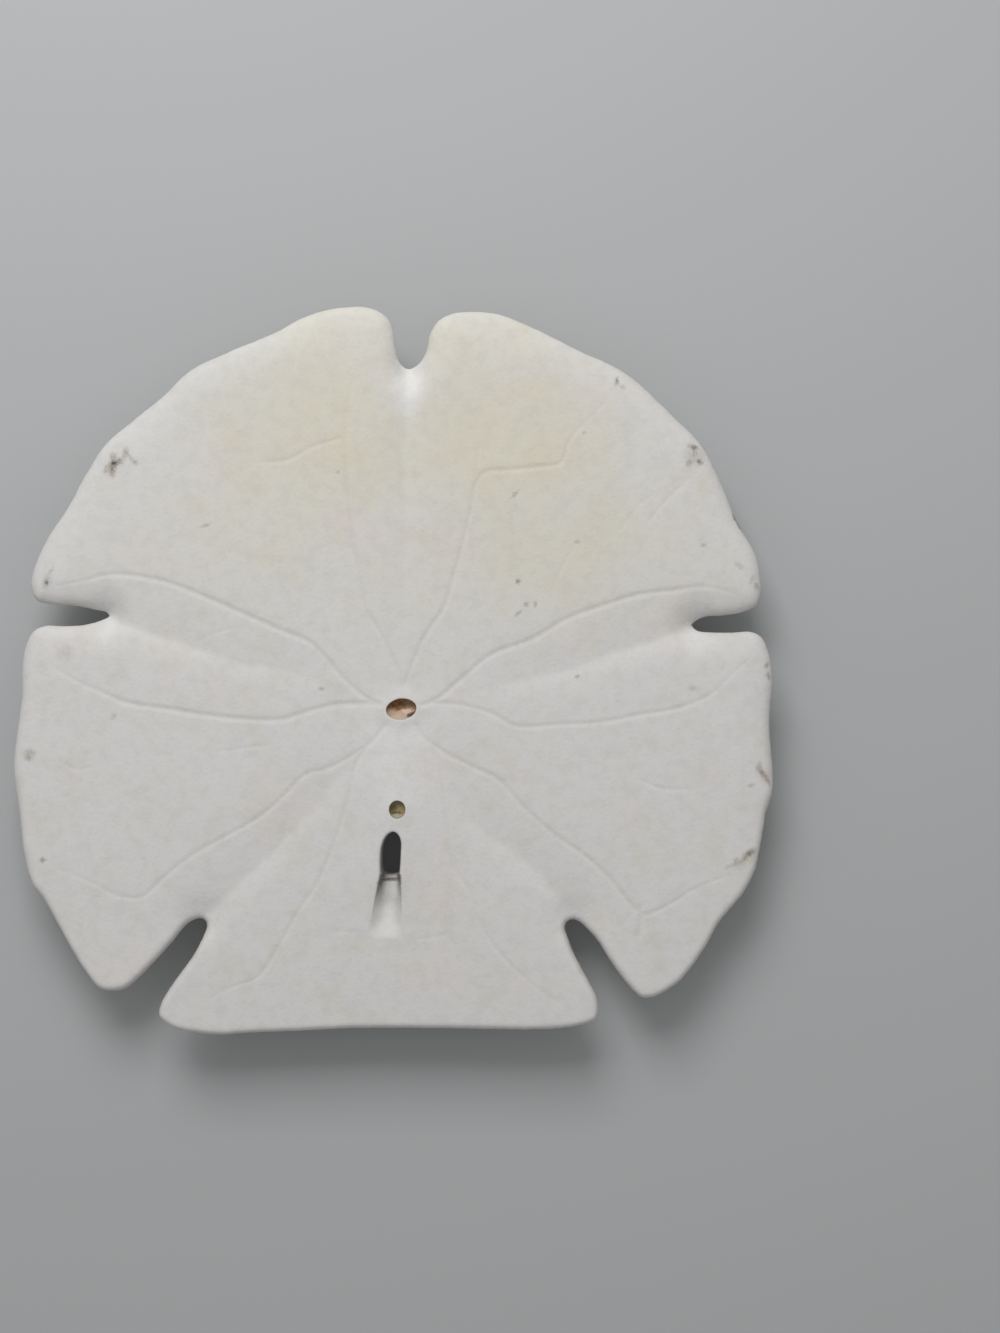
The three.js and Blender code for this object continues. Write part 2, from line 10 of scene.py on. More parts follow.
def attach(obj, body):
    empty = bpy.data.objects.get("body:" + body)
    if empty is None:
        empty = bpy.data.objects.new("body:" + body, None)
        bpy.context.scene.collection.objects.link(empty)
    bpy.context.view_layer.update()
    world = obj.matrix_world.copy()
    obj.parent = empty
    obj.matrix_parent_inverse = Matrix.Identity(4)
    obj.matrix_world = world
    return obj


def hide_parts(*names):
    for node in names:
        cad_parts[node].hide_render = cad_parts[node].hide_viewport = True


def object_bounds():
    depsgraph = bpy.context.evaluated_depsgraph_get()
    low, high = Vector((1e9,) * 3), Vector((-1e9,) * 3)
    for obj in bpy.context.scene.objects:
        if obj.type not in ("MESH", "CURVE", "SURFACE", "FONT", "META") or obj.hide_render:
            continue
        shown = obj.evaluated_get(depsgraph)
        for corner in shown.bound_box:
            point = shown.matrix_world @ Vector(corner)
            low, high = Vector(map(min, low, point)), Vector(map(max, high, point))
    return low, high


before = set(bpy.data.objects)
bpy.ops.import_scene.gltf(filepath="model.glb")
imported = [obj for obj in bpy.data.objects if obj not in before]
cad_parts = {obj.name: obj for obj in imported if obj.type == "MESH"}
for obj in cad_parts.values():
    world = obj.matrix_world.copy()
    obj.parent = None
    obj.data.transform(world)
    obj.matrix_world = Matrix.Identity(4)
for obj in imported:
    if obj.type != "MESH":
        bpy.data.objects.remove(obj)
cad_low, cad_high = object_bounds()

bl_info = {
    "name": "Sand Dollar",
    "version": (1, 0, 0),
    "blender": (4, 5, 0),
    "location": "View3D > Sidebar > Sand Dollar",
    "description": "Builds the finished skin of a bleached sand dollar and a plain stage for it",
    "category": "Add Mesh",
}

# Plan points and heights are in millimetres, and become metres when a mesh is made
MM = 0.001
NODE = "sand_dollar_test"

# Outline of the test, clockwise from the front notch, as seen from above
OUTLINE = [
    # Front notch
    (0.75, 49.1), (1.35, 48.3), (2.25, 47.9), (3.35, 48.2), (4.4, 49.1), (5.2, 50.6), (5.65, 52.8),
    # Right front lobe
    (6.4, 54.5), (7.6, 55.7), (9.3, 56.4), (11.7, 56.7), (16.6, 56.3), (22.8, 53.8), (29.4, 50.5),
    (35.5, 47.7), (39.4, 44.8), (44.8, 39.6), (48.6, 35.7), (51.8, 29.6), (54.4, 23.3), (57.4, 17.9),
    (58.1, 13.3), (58.0, 11.7), (57.4, 10.3),
    # Right notch
    (55.2, 9.2), (52.6, 8.7), (49.4, 8.5), (47.9, 7.8), (47.3, 7.2), (48.1, 6.3), (50.2, 6.0),
    (54.1, 6.0), (56.4, 6.1), (57.7, 5.6),
    # Right side lobe
    (58.8, 4.3), (59.9, -0.6), (59.5, -6.7), (59.5, -10.3), (60.0, -17.2), (59.7, -19.9),
    (58.8, -22.5), (58.4, -25.2), (57.0, -31.8), (55.3, -35.1), (51.5, -39.7), (49.1, -43.9),
    (45.6, -48.6), (43.5, -50.3), (41.7, -51.3), (40.1, -51.7), (39.1, -51.6), (38.0, -50.7),
    (35.1, -47.2), (32.3, -42.8), (30.9, -41.2), (29.6, -40.0),
    # Right rear notch
    (28.5, -39.5), (27.4, -39.9), (27.1, -40.8), (27.4, -41.9),
    # Rear lobe
    (28.6, -44.9), (30.9, -49.2), (32.0, -51.4), (32.4, -53.3), (32.1, -54.9), (30.9, -55.6),
    (28.6, -56.2), (26.1, -56.5), (21.6, -56.7), (6.5, -56.5), (-5.6, -56.5), (-14.6, -56.9),
    (-22.6, -57.2), (-26.8, -57.5), (-30.5, -57.3), (-34.4, -56.5), (-36.1, -55.5), (-37.0, -54.4),
    (-36.7, -52.7), (-34.7, -49.3), (-31.9, -45.5), (-30.5, -43.0), (-30.0, -41.9),
    # Left rear notch
    (-29.6, -40.7), (-29.8, -39.8), (-30.7, -39.3), (-32.5, -40.0),
    # Left side lobe
    (-35.3, -43.3), (-38.3, -46.6), (-41.8, -49.9), (-43.2, -50.5), (-45.2, -50.5), (-46.6, -50.0),
    (-49.1, -46.8), (-52.2, -41.5), (-55.5, -35.7), (-57.0, -33.8), (-58.4, -28.7), (-59.2, -22.1),
    (-60.0, -16.0), (-59.9, -12.9), (-58.9, -5.0), (-58.6, 2.1), (-57.9, 4.6), (-56.9, 6.2),
    # Left notch
    (-55.1, 7.0), (-52.2, 7.0), (-48.9, 7.2), (-46.6, 7.9), (-45.3, 8.7), (-45.7, 9.2),
    (-47.4, 9.6), (-50.3, 10.2), (-54.1, 10.5), (-56.4, 11.1),
    # Left front lobe
    (-57.3, 13.1), (-56.9, 16.1), (-54.7, 20.9), (-51.5, 25.8), (-48.5, 31.3), (-45.5, 35.8),
    (-41.3, 39.4), (-36.5, 43.3), (-32.3, 47.3), (-27.1, 49.9), (-18.6, 53.5), (-15.5, 55.2),
    (-12.7, 56.4), (-10.0, 57.1), (-6.5, 57.5), (-4.1, 57.4), (-2.1, 56.6), (-0.7, 55.4),
    (0.0, 53.5), (0.3, 51.1),
]

# Narrowest section of the slot behind the anus, clockwise from its front end
SLOT = [
    (-0.05, -25.6), (0.5, -25.85), (0.87, -26.4), (1.07, -27.2), (1.03, -28.9), (0.92, -31.0),
    (0.75, -32.15), (0.2, -32.5), (-0.5, -32.55), (-1.25, -32.5), (-1.7, -32.1), (-1.82, -31.0),
    (-1.8, -29.4), (-1.7, -28.1), (-1.38, -27.0), (-0.85, -26.1),
]

# The five rays, front, right, right rear, left rear and left: the furrow from the mouth to the
# notch, its reach to the left and right of its way, the depth and the radius to which the notch's
# end is scooped, and the length of the ray's petal on the back
RAYS = [
    ([(1.9, 2.0), (1.9, 20.0), (1.9, 34.0), (2.4, 47.2)], 2.0, 2.0, 1.5, 2.3, 26.0),
    ([(10.6, -3.9), (20.0, -1.5), (27.8, 0.1), (34.1, 2.6), (40.4, 4.5), (47.3, 6.8)],
     5.0, 2.0, 1.0, 2.8, 24.0),
    ([(5.6, -12.0), (12.9, -24.0), (20.1, -29.6), (25.0, -34.3), (28.2, -39.0)],
     5.0, 2.0, 0.7, 2.8, 26.0),
    ([(-4.4, -12.0), (-11.4, -20.3), (-16.0, -25.4), (-22.4, -31.8), (-30.0, -39.4)],
     2.0, 5.0, 0.7, 2.8, 26.0),
    ([(-8.3, -2.8), (-16.9, -0.1), (-25.5, 1.6), (-31.8, 3.8), (-36.5, 5.2), (-45.3, 8.2)],
     2.0, 5.0, 1.0, 2.8, 24.0),
]

# Food grooves of the mouth side: how deep each is against the deepest, and its line outwards
FOOD_GROOVES = [
    # Front left groove and its side branch
    (0.85, [(1.4, -2.4), (1.2, -0.8), (0.2, 1.4), (-2.0, 6.0), (-3.8, 8.9), (-4.8, 13.2), (-5.8, 17.6),
        (-6.4, 21.3), (-7.2, 29.3), (-7.6, 35.7), (-7.2, 39.6), (-6.4, 45.3)]),
    (0.6, [(-8.4, 36.5), (-12.8, 35.1), (-15.4, 33.6), (-17.6, 32.9), (-21.6, 32.7)]),
    # Front right groove, its long side branch and the faint way straight on
    (0.85, [(1.9, -2.2), (2.5, -0.3), (5.1, 5.5), (8.0, 9.9), (9.5, 14.7), (11.1, 20.4), (12.2, 25.2),
        (13.5, 30.4), (14.9, 31.3), (17.6, 31.5), (22.4, 32.0), (26.5, 32.8), (27.7, 36.1),
        (29.6, 38.3), (33.1, 41.8)]),
    (0.5, [(13.2, 30.5), (13.6, 36.5)]),
    # Right grooves, before and behind the right notch
    (1.0, [(4.5, -5.4), (6.5, -4.8), (10.6, -1.5), (15.5, 2.5), (21.8, 4.9), (27.5, 8.2), (33.0, 10.2),
        (38.6, 11.9), (44.1, 12.6), (48.5, 13.2), (53.6, 12.2)]),
    (0.75, [(5.6, -5.1), (7.6, -5.1), (12.1, -5.7), (16.0, -7.0), (19.2, -8.7), (26.4, -8.5),
        (32.9, -8.1), (39.3, -6.9), (44.9, -5.9), (49.8, -3.9), (53.0, -0.9), (55.8, 1.5)]),
    # Left grooves, before and behind the left notch
    (1.0, [(-1.9, -5.4), (-3.6, -4.7), (-7.3, -1.7), (-10.5, 1.9), (-13.0, 4.4), (-17.6, 6.3),
        (-23.2, 8.8), (-29.6, 11.6), (-34.4, 13.5), (-39.2, 14.7), (-44.5, 15.1), (-49.6, 13.9),
        (-52.9, 13.3)]),
    (1.0, [(-3.0, -5.2), (-4.6, -5.2), (-9.6, -5.5), (-13.6, -6.5), (-17.6, -7.7), (-24.0, -7.6),
        (-29.6, -7.0), (-35.2, -6.1), (-41.6, -5.1), (-46.1, -3.3), (-49.7, -1.7), (-52.6, 0.0)]),
    # Rear grooves of the left side lobe and of the rear lobe
    (0.68, [(-1.2, -8.6), (-3.1, -11.0), (-6.3, -13.3), (-10.3, -15.4), (-13.9, -16.5), (-17.5, -20.1),
        (-21.5, -23.4), (-26.3, -26.1), (-31.9, -29.3), (-35.9, -32.5), (-39.5, -35.6),
        (-43.2, -35.5), (-47.3, -33.4), (-52.2, -31.4)]),
    (0.7, [(-4.0, -11.6), (-6.1, -15.3), (-6.9, -19.7), (-8.1, -23.7), (-10.1, -29.3), (-11.8, -33.3),
        (-15.0, -38.1), (-18.2, -43.8), (-21.4, -48.3), (-25.5, -49.9), (-28.7, -51.5)]),
    # Rear grooves of the right side lobe and of the rear lobe
    (0.85, [(3.5, -8.5), (4.9, -10.5), (7.9, -12.8), (12.6, -15.2), (16.5, -17.1), (20.6, -21.5),
        (24.9, -25.4), (30.1, -29.1), (34.1, -32.7), (37.4, -36.7), (39.5, -38.4), (43.5, -36.8),
        (47.5, -34.4), (52.3, -32.5)]),
    (0.6, [(5.6, -10.8), (7.3, -14.8), (8.1, -19.7), (8.7, -24.4), (9.6, -30.8), (12.1, -34.8),
        (13.6, -39.7), (16.8, -44.4), (21.6, -49.2), (26.2, -52.4)]),
    # Faint twigs of the grooves
    (0.32, [(25.6, 14.0), (27.2, 17.3), (28.8, 19.7)]),
    (0.25, [(35.7, 22.0), (38.8, 26.0), (42.0, 28.3)]),
    (0.4, [(40.4, 23.6), (42.4, 26.1), (46.5, 30.1)]),
    (0.25, [(-30.2, 4.8), (-27.9, 5.9), (-24.0, 6.8)]),
    (0.4, [(-52.2, -14.4), (-49.9, -15.6), (-46.7, -15.0)]),
    (0.35, [(-26.3, -12.8), (-23.2, -12.2), (-18.5, -11.7)]),
    (0.55, [(38.8, -17.2), (42.0, -18.5), (46.7, -18.8)]),
    (1.0, [(38.9, -37.4), (38.8, -42.8)]),
    (0.36, [(-16.9, -24.3), (-17.4, -26.6), (-18.9, -29.0)]),
    (0.36, [(23.1, -33.7), (25.5, -35.3)]),
    (0.3, [(-9.0, -41.1), (-5.1, -41.2)]),
    (0.3, [(4.3, -42.3), (9.0, -41.5)]),
    # Crack across the ramp of the slot
    (0.8, [(-2.0, -35.6), (-1.2, -35.8), (-0.6, -36.4), (-0.2, -36.9)]),
]

# Stains: place, half length, half width, turn in degrees, strength and colour name
STAINS = [
    # Brown growth near the left front edge, with its halo and its second tuft
    (-43.7, 32.6, 2.3, 1.7, 70, 0.3, "blush"), (-44.1, 31.7, 1.25, 0.6, 85, 0.75, "brown"),
    (-45.1, 31.6, 0.75, 0.5, 80, 0.6, "olive"), (-43.1, 32.9, 0.9, 0.5, 10, 0.58, "brown"),
    (-44.0, 33.7, 0.65, 0.55, 0, 0.55, "brown"), (-43.9, 32.6, 0.8, 0.52, 0, 0.95, "dark"),
    (-42.1, 34.2, 1.0, 0.45, 80, 0.5, "brown"), (-41.2, 33.4, 1.2, 0.38, -52, 0.48, "grey"),
    (-40.5, 32.7, 0.45, 0.4, 0, 0.42, "grey"),
    # Left edge
    (-54.5, 13.9, 1.4, 0.8, 70, 0.38, "grey"), (-54.5, 13.8, 0.5, 0.42, 70, 0.8, "brown"),
    (-53.8, 15.7, 0.8, 0.3, 60, 0.38, "grey"), (-51.6, 2.9, 1.5, 1.2, 30, 0.26, "grey"),
    (-57.2, -13.1, 1.05, 0.75, 10, 0.5, "olive"), (-57.4, -13.9, 0.6, 0.5, 0, 0.55, "grey"),
    (-55.1, -29.8, 0.55, 0.42, 0, 0.65, "brown"), (-43.9, -7.2, 0.7, 0.5, 70, 0.3, "grey"),
    (-29.5, 22.8, 0.9, 0.24, 20, 0.5, "grey"), (-11.3, -2.9, 0.5, 0.34, 0, 0.6, "grey"),
    (-8.6, 31.2, 0.35, 0.35, 0, 0.45, "grey"),
    # Right front edge
    (35.2, 45.5, 0.85, 0.34, 80, 0.62, "dark"), (36.1, 44.6, 0.6, 0.35, -30, 0.36, "olive"),
    (47.5, 33.8, 2.0, 1.7, 0, 0.3, "olive"), (47.2, 35.2, 0.95, 0.5, -20, 0.55, "olive"),
    (47.5, 35.1, 0.42, 0.32, 0, 0.8, "dark"), (48.3, 32.8, 0.6, 0.42, -30, 0.75, "dark"),
    (46.6, 32.6, 0.75, 0.5, 40, 0.5, "olive"), (47.5, 34.1, 0.6, 0.3, 80, 0.4, "brown"),
    (54.1, 24.2, 0.75, 0.55, -65, 0.92, "dark"), (54.6, 23.0, 1.3, 0.34, -62, 0.75, "dark"),
    (48.9, 19.7, 0.5, 0.4, 0, 0.4, "grey"), (54.5, 16.5, 0.9, 0.5, -40, 0.3, "olive"),
    (56.6, 14.3, 0.9, 0.35, 60, 0.45, "grey"), (57.3, 13.3, 0.7, 0.5, -60, 0.5, "olive"),
    # Specks of the right front lobe
    (19.7, 14.0, 0.45, 0.4, 0, 0.75, "dark"), (20.9, 10.4, 0.42, 0.4, 0, 0.6, "grey"),
    (22.4, 10.4, 0.55, 0.3, 80, 0.6, "grey"), (19.7, 8.9, 0.7, 0.28, 35, 0.5, "grey"),
    (28.9, 20.2, 0.5, 0.34, 0, 0.5, "grey"), (19.2, 27.7, 0.9, 0.28, 45, 0.5, "grey"),
    (29.0, -1.0, 0.5, 0.4, 0, 0.5, "grey"), (30.1, 37.3, 0.4, 0.3, 0, 0.35, "grey"),
    # Right edge
    (47.1, -2.8, 0.6, 0.5, 0, 0.32, "grey"), (58.9, 0.8, 0.6, 0.4, 60, 0.6, "olive"),
    (59.2, -0.9, 0.7, 0.4, -70, 0.6, "olive"), (58.6, -16.4, 1.6, 1.2, -60, 0.32, "blush"),
    (57.6, -15.2, 0.85, 0.5, 60, 0.55, "grey"), (58.1, -16.1, 0.8, 0.4, -60, 0.6, "brown"),
    (58.7, -16.9, 0.95, 0.55, -50, 0.62, "red"), (59.2, -17.8, 0.6, 0.3, -60, 0.4, "brown"),
    (56.3, -18.1, 0.7, 0.38, 10, 0.42, "grey"), (55.6, -29.9, 2.0, 0.9, 35, 0.38, "ochre"),
    (56.1, -28.8, 1.3, 0.62, 32, 0.7, "olive"), (56.2, -28.7, 0.65, 0.4, 20, 0.55, "dark"),
    (55.2, -29.8, 0.7, 0.42, 40, 0.55, "olive"), (54.1, -30.0, 0.6, 0.6, 0, 0.55, "grey"),
    (53.4, -30.7, 1.2, 0.36, 18, 0.42, "grey"),
]
STAIN_COLOURS = {
    "brown": (0.13, 0.095, 0.06), "olive": (0.22, 0.20, 0.12), "grey": (0.24, 0.225, 0.195),
    "dark": (0.075, 0.065, 0.05), "red": (0.27, 0.15, 0.115), "ochre": (0.40, 0.34, 0.20),
    "blush": (0.50, 0.38, 0.30),
}

# Creamy patches beside the front furrow: place, half length, half width and strength
CREAM_PATCHES = [
    (-13, 36, 22, 20, 1.0), (17, 36, 24, 20, 1.0), (24, 20, 30, 16, 0.7), (-22, 22, 26, 14, 0.5),
    (-8, 51, 15, 11, 1.0), (13, 51, 17, 10, 1.0), (2, 13, 15, 13, 0.3),
]
# Lighter patches of painted light, in the same way: the five furrow ends, the middle and the two front lobes
PAINTED_LIGHT_PATCHES = [
    (*RAYS[0][0][-1], 3.0, 8.0, 0.9), (*RAYS[1][0][-1], 2.6, 4.0, 0.4),
    (*RAYS[2][0][-1], 2.6, 4.0, 0.3), (*RAYS[3][0][-1], 2.6, 4.0, 0.3),
    (*RAYS[4][0][-1], 2.6, 4.0, 0.4), (1.6, -14.5, 8.0, 8.0, 0.5),
    (-9.0, 53.5, 15.0, 7.0, 0.27), (14.0, 52.5, 16.0, 7.0, 0.27),
]
# Faint pink, ochre and grey clouds: size, detail, where each begins and is full, strength and colour
CLOUDS = [
    (13.0, 3.0, 0.53, 0.75, 0.4, (0.72, 0.645, 0.615)), (5.0, 4.0, 0.52, 0.72, 0.2, (0.62, 0.56, 0.42)),
    (2.0, 4.0, 0.42, 0.68, 0.16, (0.50, 0.49, 0.46)), (0.6, 2.0, 0.5, 0.72, 0.10, (0.45, 0.43, 0.39)),
]
# Painted light for the lighter patches
PAINTED_LIGHT_WHITE = (0.79, 0.785, 0.775)
# Painted shade for the food grooves and pores
GROOVE_SHADE = (0.36, 0.32, 0.26)
# Painted shade, with some dirt, for the ledge behind the slot
LEDGE_SHADE_AND_DIRT = (0.15, 0.145, 0.13)

# Tints of the mouth's lining, in shares of the pit: middle, half size, turn, colour and strength. The pink
# and pale ones behind are painted light on its rear wall, and the near-black one over the gap is painted
# shade
MOUTH_PINK = (0.37, 0.19, 0.10)
MOUTH_TINTS_LIGHT_AND_SHADE = [
    ((0.62, 0.4), (0.4, 0.5), 0.0, (0.34, 0.28, 0.17), 0.85),
    ((-0.75, -0.25), (0.4, 0.55), 0.0, (0.50, 0.42, 0.28), 0.8),
    ((0.08, -0.5), (0.85, 0.5), 0.3, (0.56, 0.385, 0.295), 1.0),
    ((0.3, -0.25), (0.3, 0.2), 0.2, (0.70, 0.57, 0.49), 0.7),
    ((-0.2, -0.85), (0.8, 0.35), 0.1, (0.54, 0.46, 0.36), 0.8),
    ((0.58, -0.66), (0.36, 0.2), 0.5, (0.07, 0.05, 0.035), 0.9),
]
# Tints of the anus: distance in front of its middle, half length, colour and strength. The pale one farthest
# behind is painted light on its rear wall
ANUS_LEFT, ANUS_RIGHT = (0.20, 0.155, 0.08), (0.36, 0.29, 0.165)
ANUS_TINTS_AND_LIGHT = [
    (1.05, 0.4, (0.27, 0.25, 0.20), 0.8), (-0.55, 0.22, (0.12, 0.09, 0.045), 0.8),
    (-1.1, 0.38, (0.40, 0.37, 0.31), 0.9),
]


def turned(offset, angle):
    """Plan offsets turned by an angle."""
    cos, sin = math.cos(angle), math.sin(angle)
    return offset @ np.array(((cos, sin), (-sin, cos)))


def in_oval(plan, middle, half, turn):
    """0 in the middle of an oval and 1 on its edge."""
    offset = turned(plan - middle, -turn) / half
    return np.hypot(offset[:, 0], offset[:, 1])


class Pit:
    """A blind pit in the mouth side. Its profile is (share of the rim, share of the rim, depth)."""

    def __init__(self, centre, half_length, half_width, tilt, lip, profile):
        self.centre = np.array(centre)
        self.half = np.array((half_length, half_width))
        self.tilt = tilt
        self.lip = lip
        self.profile = np.array(profile)

    def reach(self, plan):
        """0 in the middle of the pit and 1 on its rim."""
        return in_oval(plan, self.centre, self.half, self.tilt)

    def ring(self, share, corners):
        angle = np.linspace(0, 2 * math.pi, corners, endpoint=False) + 0.5 * share
        circle = np.column_stack((np.cos(angle), np.sin(angle))) * self.half * share
        return self.centre + turned(circle, self.tilt)


MOUTH = Pit((1.3, -6.1), 2.4, 1.65, 0.14, 0.28, [
    (0.0, 0.0, 1.7), (0.3, 0.42, 1.9), (0.5, 0.72, 1.8), (0.66, 0.97, 1.4), (0.78, 1.04, 0.9),
    (0.88, 1.02, 0.5), (0.95, 1.0, 0.2), (1.0, 1.0, 0.0),
])
ANUS = Pit((0.68, -21.9), 1.28, 1.43, 0.0, 0.12, [
    (0.0, 0.0, 1.3), (0.4, 0.5, 1.25), (0.65, 0.88, 1.0), (0.85, 1.0, 0.6), (0.95, 1.0, 0.25),
    (1.0, 1.0, 0.0),
])

# Dried tissue in the mouth: middle and half size in shares of the pit, turn, and height in it
MOUTH_TISSUE = [((0.08, -0.38), (0.78, 0.44), 0.24, 1.0), ((-0.55, -0.05), (0.32, 0.4), 0.9, 0.5)]
MOUTH_GAP = ((0.58, -0.66), (0.34, 0.17), 0.5, 1.2)

# Rows of mesh points, in millimetres beside a line, behind the slot's end or inside the edge
RIM_ROWS = (0.1, 0.28, 0.52, 0.85, 1.25, 1.75)
GROOVE_ROWS = (0.2, 0.4, 0.62, 0.9)
FURROW_ROWS = (0.4, 0.8, 1.3)
PORE_ROWS = (0.28, 0.56, 0.84, 1.08)
LEDGE_ROWS = (0.1, 0.3, 0.5, 0.7, 0.84, 0.95, 1.05, 1.15, 1.3)
# Rows of mesh points in shares of a pit's or of the ramp's half width
PIT_ROWS = (0.0, 0.15, 0.3, 0.45, 0.58, 0.68, 0.76, 0.83, 0.89, 0.94, 0.98, 1.02, 1.1, 1.25, 1.45, 1.7)
RAMP_ROWS = (0.62, 0.74, 0.84, 0.91, 0.96, 1.0, 1.05)

# Least distance from a new mesh point to those already there, and to the edge or the slot
CLEARANCE = {
    "pit": (0.04, 0.5), "ramp": (0.07, 0.12), "trough": (0.17, 0.3), "groove": (0.14, 0.9),
    "furrow": (0.25, 0.9), "pore": (0.09, 0.9), "star": (0.2, 0.9),
}
RIM_CLEARANCE = 0.09
ROW_TOLERANCE = 0.96
FIELD_REACH = 66
FINE_STEP = 0.3
GROOVE_STEP = 0.36
LINE_STEP = 0.5
STAR_RADIUS = 6.5

# Middle of the photo's frame over the test, in metres, and how far the floor reaches
CAMERA_PLACE = (0.01685, 0.0006)
FLOOR_REACH = 8.0


def length(name, description, default):
    return FloatProperty(
        name=name, description=description, default=default, unit="LENGTH", subtype="DISTANCE")


def tint(name, description, default):
    return FloatVectorProperty(
        name=name, description=description, default=default, subtype="COLOR", size=3, min=0.0, max=1.0)


class SandDollarShape(bpy.types.PropertyGroup):
    """Sizes of the test."""

    full_thickness: length("Full thickness", "Height of the mouth side above the crown of the back", 0.0124)
    rim_thickness: length("Rim thickness", "Thickness of the test just inside its edge", 0.003)
    dome_reach: length("Dome reach", "Distance from the crown over which the back falls to the rim", 0.059)
    rest_flat: length("Crown wear", "How much of the crown is worn flat where it rests", 0.00025)
    shoulder_depth: length("Shoulder depth", "How far the mouth side bends down towards the edge", 0.0009)
    groove_depth: length("Food groove depth", "Depth of the deepest food grooves", 0.000122)
    groove_half_width: length("Food groove half width", "Half the width of a food groove", 0.0007)
    pore_pitch: length("Pore pitch", "Distance from one pore slit of a petal to the next", 0.00056)
    pore_length: length("Pore slit length", "Length of a pore slit, from inner to outer pore", 0.0017)
    pore_depth: length("Pore slit depth", "Depth of a pore slit", 0.00016)
    slit_half_width: length("Pore slit half width", "Half the width of a pore slit", 0.00019)
    pore_radius: length("Pore radius", "Radius of the pore at each end of a slit", 0.00026)
    open_step: length("Open mesh step", "Spacing of the mesh where the surface is plain", 0.0009)
    wobble_seed: IntProperty(
        name="Unevenness seed", description="Start of the noise that makes the surface uneven", default=7)


class SandDollarFinish(bpy.types.PropertyGroup):
    """Colours and grain of the bleached skin."""

    bleached: tint("Bleached skin", "Colour of the clean bleached skin", (0.695, 0.684, 0.668))
    cream: tint("Cream tint", "Colour of the creamy patches towards the front", (0.685, 0.645, 0.52))
    # The dark brown of the lining is partly painted shade of the mouth's front part
    pit: tint("Pit lining", "Colour of the dried lining of the mouth", (0.235, 0.11, 0.052))
    grain_size: length("Grain size", "Size of the fine grains of the skin", 0.00055)
    grain_height: length("Grain height", "Height of the fine grains of the skin", 0.00004)


class SandDollarStage(bpy.types.PropertyGroup):
    """Floor, lights and camera."""

    floor: tint("Floor", "Colour of the plain floor", (0.465, 0.475, 0.48))
    key_power: FloatProperty(
        name="Key light", description="Power of the soft light from the front left", default=1.33,
        unit="POWER")
    fill_power: FloatProperty(
        name="Fill light", description="Power of the broad light overhead", default=0.53, unit="POWER")
    room_light: FloatProperty(
        name="Room light", description="Strength of the even light from all around", default=0.32)
    camera_distance: length("Camera distance", "Distance from the lens to the mouth side", 0.2907)


def smooth_line(pairs, step, closed=False):
    """A centripetal Catmull-Rom line through plan points, cut into steps of about one length."""
    points = np.array(pairs, float)
    if closed:
        padded = np.vstack((points[-1], points, points[:2]))
    else:
        padded = np.vstack((2 * points[0] - points[1], points, 2 * points[-1] - points[-2]))
    line = []
    for before, start, end, after in zip(padded, padded[1:], padded[2:], padded[3:]):
        gaps = [max(float(np.linalg.norm(b - a)), 1e-6) ** 0.5
                for a, b in ((before, start), (start, end), (end, after))]
        leave = (start - before) / gaps[0] - (end - before) / (gaps[0] + gaps[1])
        leave = (leave + (end - start) / gaps[1]) * gaps[1]
        arrive = (end - start) / gaps[1] - (after - start) / (gaps[1] + gaps[2])
        arrive = (arrive + (after - end) / gaps[2]) * gaps[1]
        cuts = max(1, round(float(np.linalg.norm(end - start)) / step))
        for t in np.arange(cuts) / cuts:
            bend = (2 * start - 2 * end + leave + arrive) * t + 3 * (end - start) - 2 * leave - arrive
            line.append((bend * t + leave) * t + start)
    if not closed:
        line.append(points[-1])
    return np.array(line)


def headings(line, closed=False):
    """Unit direction of a line at each of its points."""
    if closed:
        along = np.roll(line, -1, axis=0) - np.roll(line, 1, axis=0)
    else:
        along = np.gradient(line, axis=0)
    return along / np.linalg.norm(along, axis=1, keepdims=True)


def beside(line, offset, closed=False):
    """The points of a line moved sideways, to the left of its way."""
    along = headings(line, closed)
    return line + offset * np.column_stack((-along[:, 1], along[:, 0]))


def tree_of(points):
    """A tree that finds the nearest of some plan points."""
    tree = kdtree.KDTree(len(points))
    for index, (x, y) in enumerate(points):
        tree.insert((x, y, 0.0), index)
    tree.balance()
    return tree


class Nearest:
    """Distance from plan points to a set of lines, and which sample of them is nearest."""

    def __init__(self, lines, closed=False, spacing=0.05):
        samples, ways, shares = [], [], []
        for line in lines:
            path = np.vstack((line, line[:1])) if closed else line
            lengths = np.concatenate(((0,), np.cumsum(np.linalg.norm(np.diff(path, axis=0), axis=1))))
            count = max(2, round(lengths[-1] / spacing))
            places = np.linspace(0, lengths[-1], count)
            samples.append(np.column_stack([np.interp(places, lengths, path[:, k]) for k in (0, 1)]))
            ways.append(headings(samples[-1]))
            shares.append(places / lengths[-1])
        self.samples = np.vstack(samples)
        self.ways = np.vstack(ways)
        self.shares = np.concatenate(shares)
        self.tree = tree_of(self.samples)

    def find(self, plan):
        found = [self.tree.find((x, y, 0.0)) for x, y in plan]
        return np.array([f[2] for f in found]), np.array([f[1] for f in found])

    def distance(self, plan):
        return self.find(plan)[0]

    def is_left(self, plan, sample):
        """Which points lie to the left of the line's way at their nearest sample."""
        offset = plan - self.samples[sample]
        way = self.ways[sample]
        return way[:, 0] * offset[:, 1] - way[:, 1] * offset[:, 0] > 0


def within(plan, loop):
    """Which plan points lie inside a closed loop."""
    inside = np.zeros(len(plan), bool)
    after = np.roll(loop, -1, axis=0)
    for (ax, ay), (bx, by) in zip(loop, after):
        if ay == by:
            continue
        crosses = (ay > plan[:, 1]) != (by > plan[:, 1])
        where = ax + (bx - ax) * (plan[:, 1] - ay) / (by - ay)
        inside ^= crosses & (plan[:, 0] < where)
    return inside


